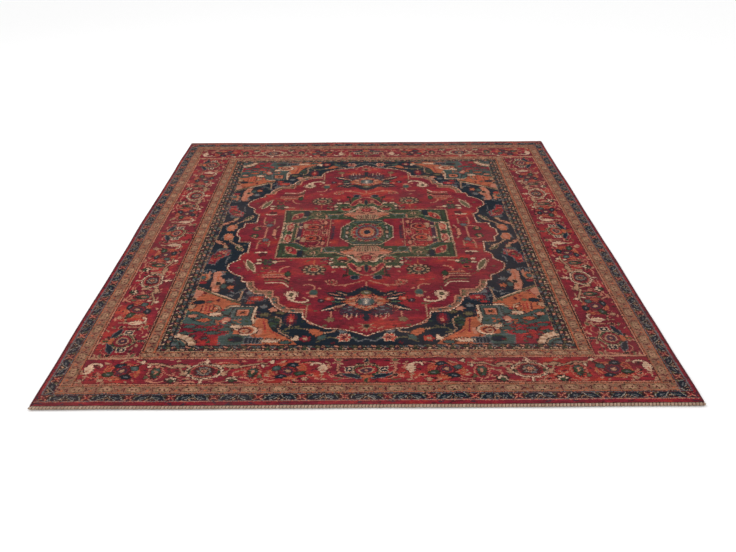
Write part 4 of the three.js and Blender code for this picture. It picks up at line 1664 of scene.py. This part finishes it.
def make_light():
    """White light from all round, and a weak softbox that gives the rug its faint shadow."""
    world = bpy.data.worlds.new("studio")
    bpy.context.scene.world = world
    world.use_nodes = True
    background = world.node_tree.nodes["Background"]
    background.inputs["Color"].default_value = (1, 1, 1, 1)
    background.inputs["Strength"].default_value = 1.0
    lamp = bpy.data.lights.new("softbox", "AREA")
    lamp.shape = "RECTANGLE"
    lamp.size, lamp.size_y = 5.0, 4.0
    lamp.energy = 60.0
    softbox = bpy.data.objects.new("softbox", lamp)
    softbox.location = (-2.2, 1.2, 3.6)
    to_rug = -softbox.location
    softbox.rotation_euler = to_rug.to_track_quat("-Z", "Y").to_euler()
    bpy.context.scene.collection.objects.link(softbox)
    bpy.context.scene.view_settings.view_transform = "Standard"


def make_camera():
    """A viewer standing beyond the near end, looking down at the middle of the rug."""
    place = (0.0077, -3.855, 1.744)
    pitch = math.radians(27.38)
    roll = math.radians(-0.37)
    yaw = math.radians(-0.01)
    forward = Vector((math.sin(yaw) * math.cos(pitch), math.cos(yaw) * math.cos(pitch), -math.sin(pitch)))
    level_right = Vector((math.cos(yaw), -math.sin(yaw), 0))
    level_up = level_right.cross(forward)
    right = math.cos(roll) * level_right + math.sin(roll) * level_up
    up = math.cos(roll) * level_up - math.sin(roll) * level_right
    data = bpy.data.cameras.new("camera")
    data.sensor_width = 36.0
    data.lens = 39.17
    camera = bpy.data.objects.new("camera", data)
    turn = Matrix((right, up, -forward)).transposed().to_4x4()
    camera.matrix_world = Matrix.Translation(place) @ turn
    bpy.context.scene.collection.objects.link(camera)
    bpy.context.scene.camera = camera


# ---- The scene ----

def make_edges():
    """Dark red overcasting along the sides, and tan whip stitches along the ends."""
    edges = []
    # the last colour of each winding material is the painted shade in the grooves between its turns
    wool = make_winding_material("overcast_wool", (116, 40, 44), (84, 24, 32), (40, 12, 16))
    for side in ("left", "right"):
        nodes = (f"{side}_overcasting", f"{side}_selvedge_cord")
        edges.append(make_winding(f"{side}_overcast_yarn", *nodes, wool, OVERCAST_STYLE))
    tan = make_winding_material("tan_binding_yarn", (206, 180, 156), (164, 134, 112), (84, 62, 52))
    for end in ("near", "far"):
        nodes = (f"{end}_end_binding", f"{end}_end_roll")
        edges.append(make_winding(f"{end}_whip_stitches", *nodes, tan, WHIP_STITCH_STYLE))
    return edges


def make_rug():
    """The pile, the foundation it is tied on and the wound edges, each settled onto the floor with the same
    waves.
    """
    xs, ys = knot_grid()
    x, y = np.meshgrid((xs[:-1] + xs[1:]) / 2, (ys[:-1] + ys[1:]) / 2)
    yarn, nodes = chart_rug(x, y)
    make_pile(xs, ys, yarn, nodes, make_pile_material())
    foundation = make_foundation(xs, ys, yarn, make_foundation_material())
    edges = make_edges()


make_camera()
make_light()
make_floor()
make_rug()
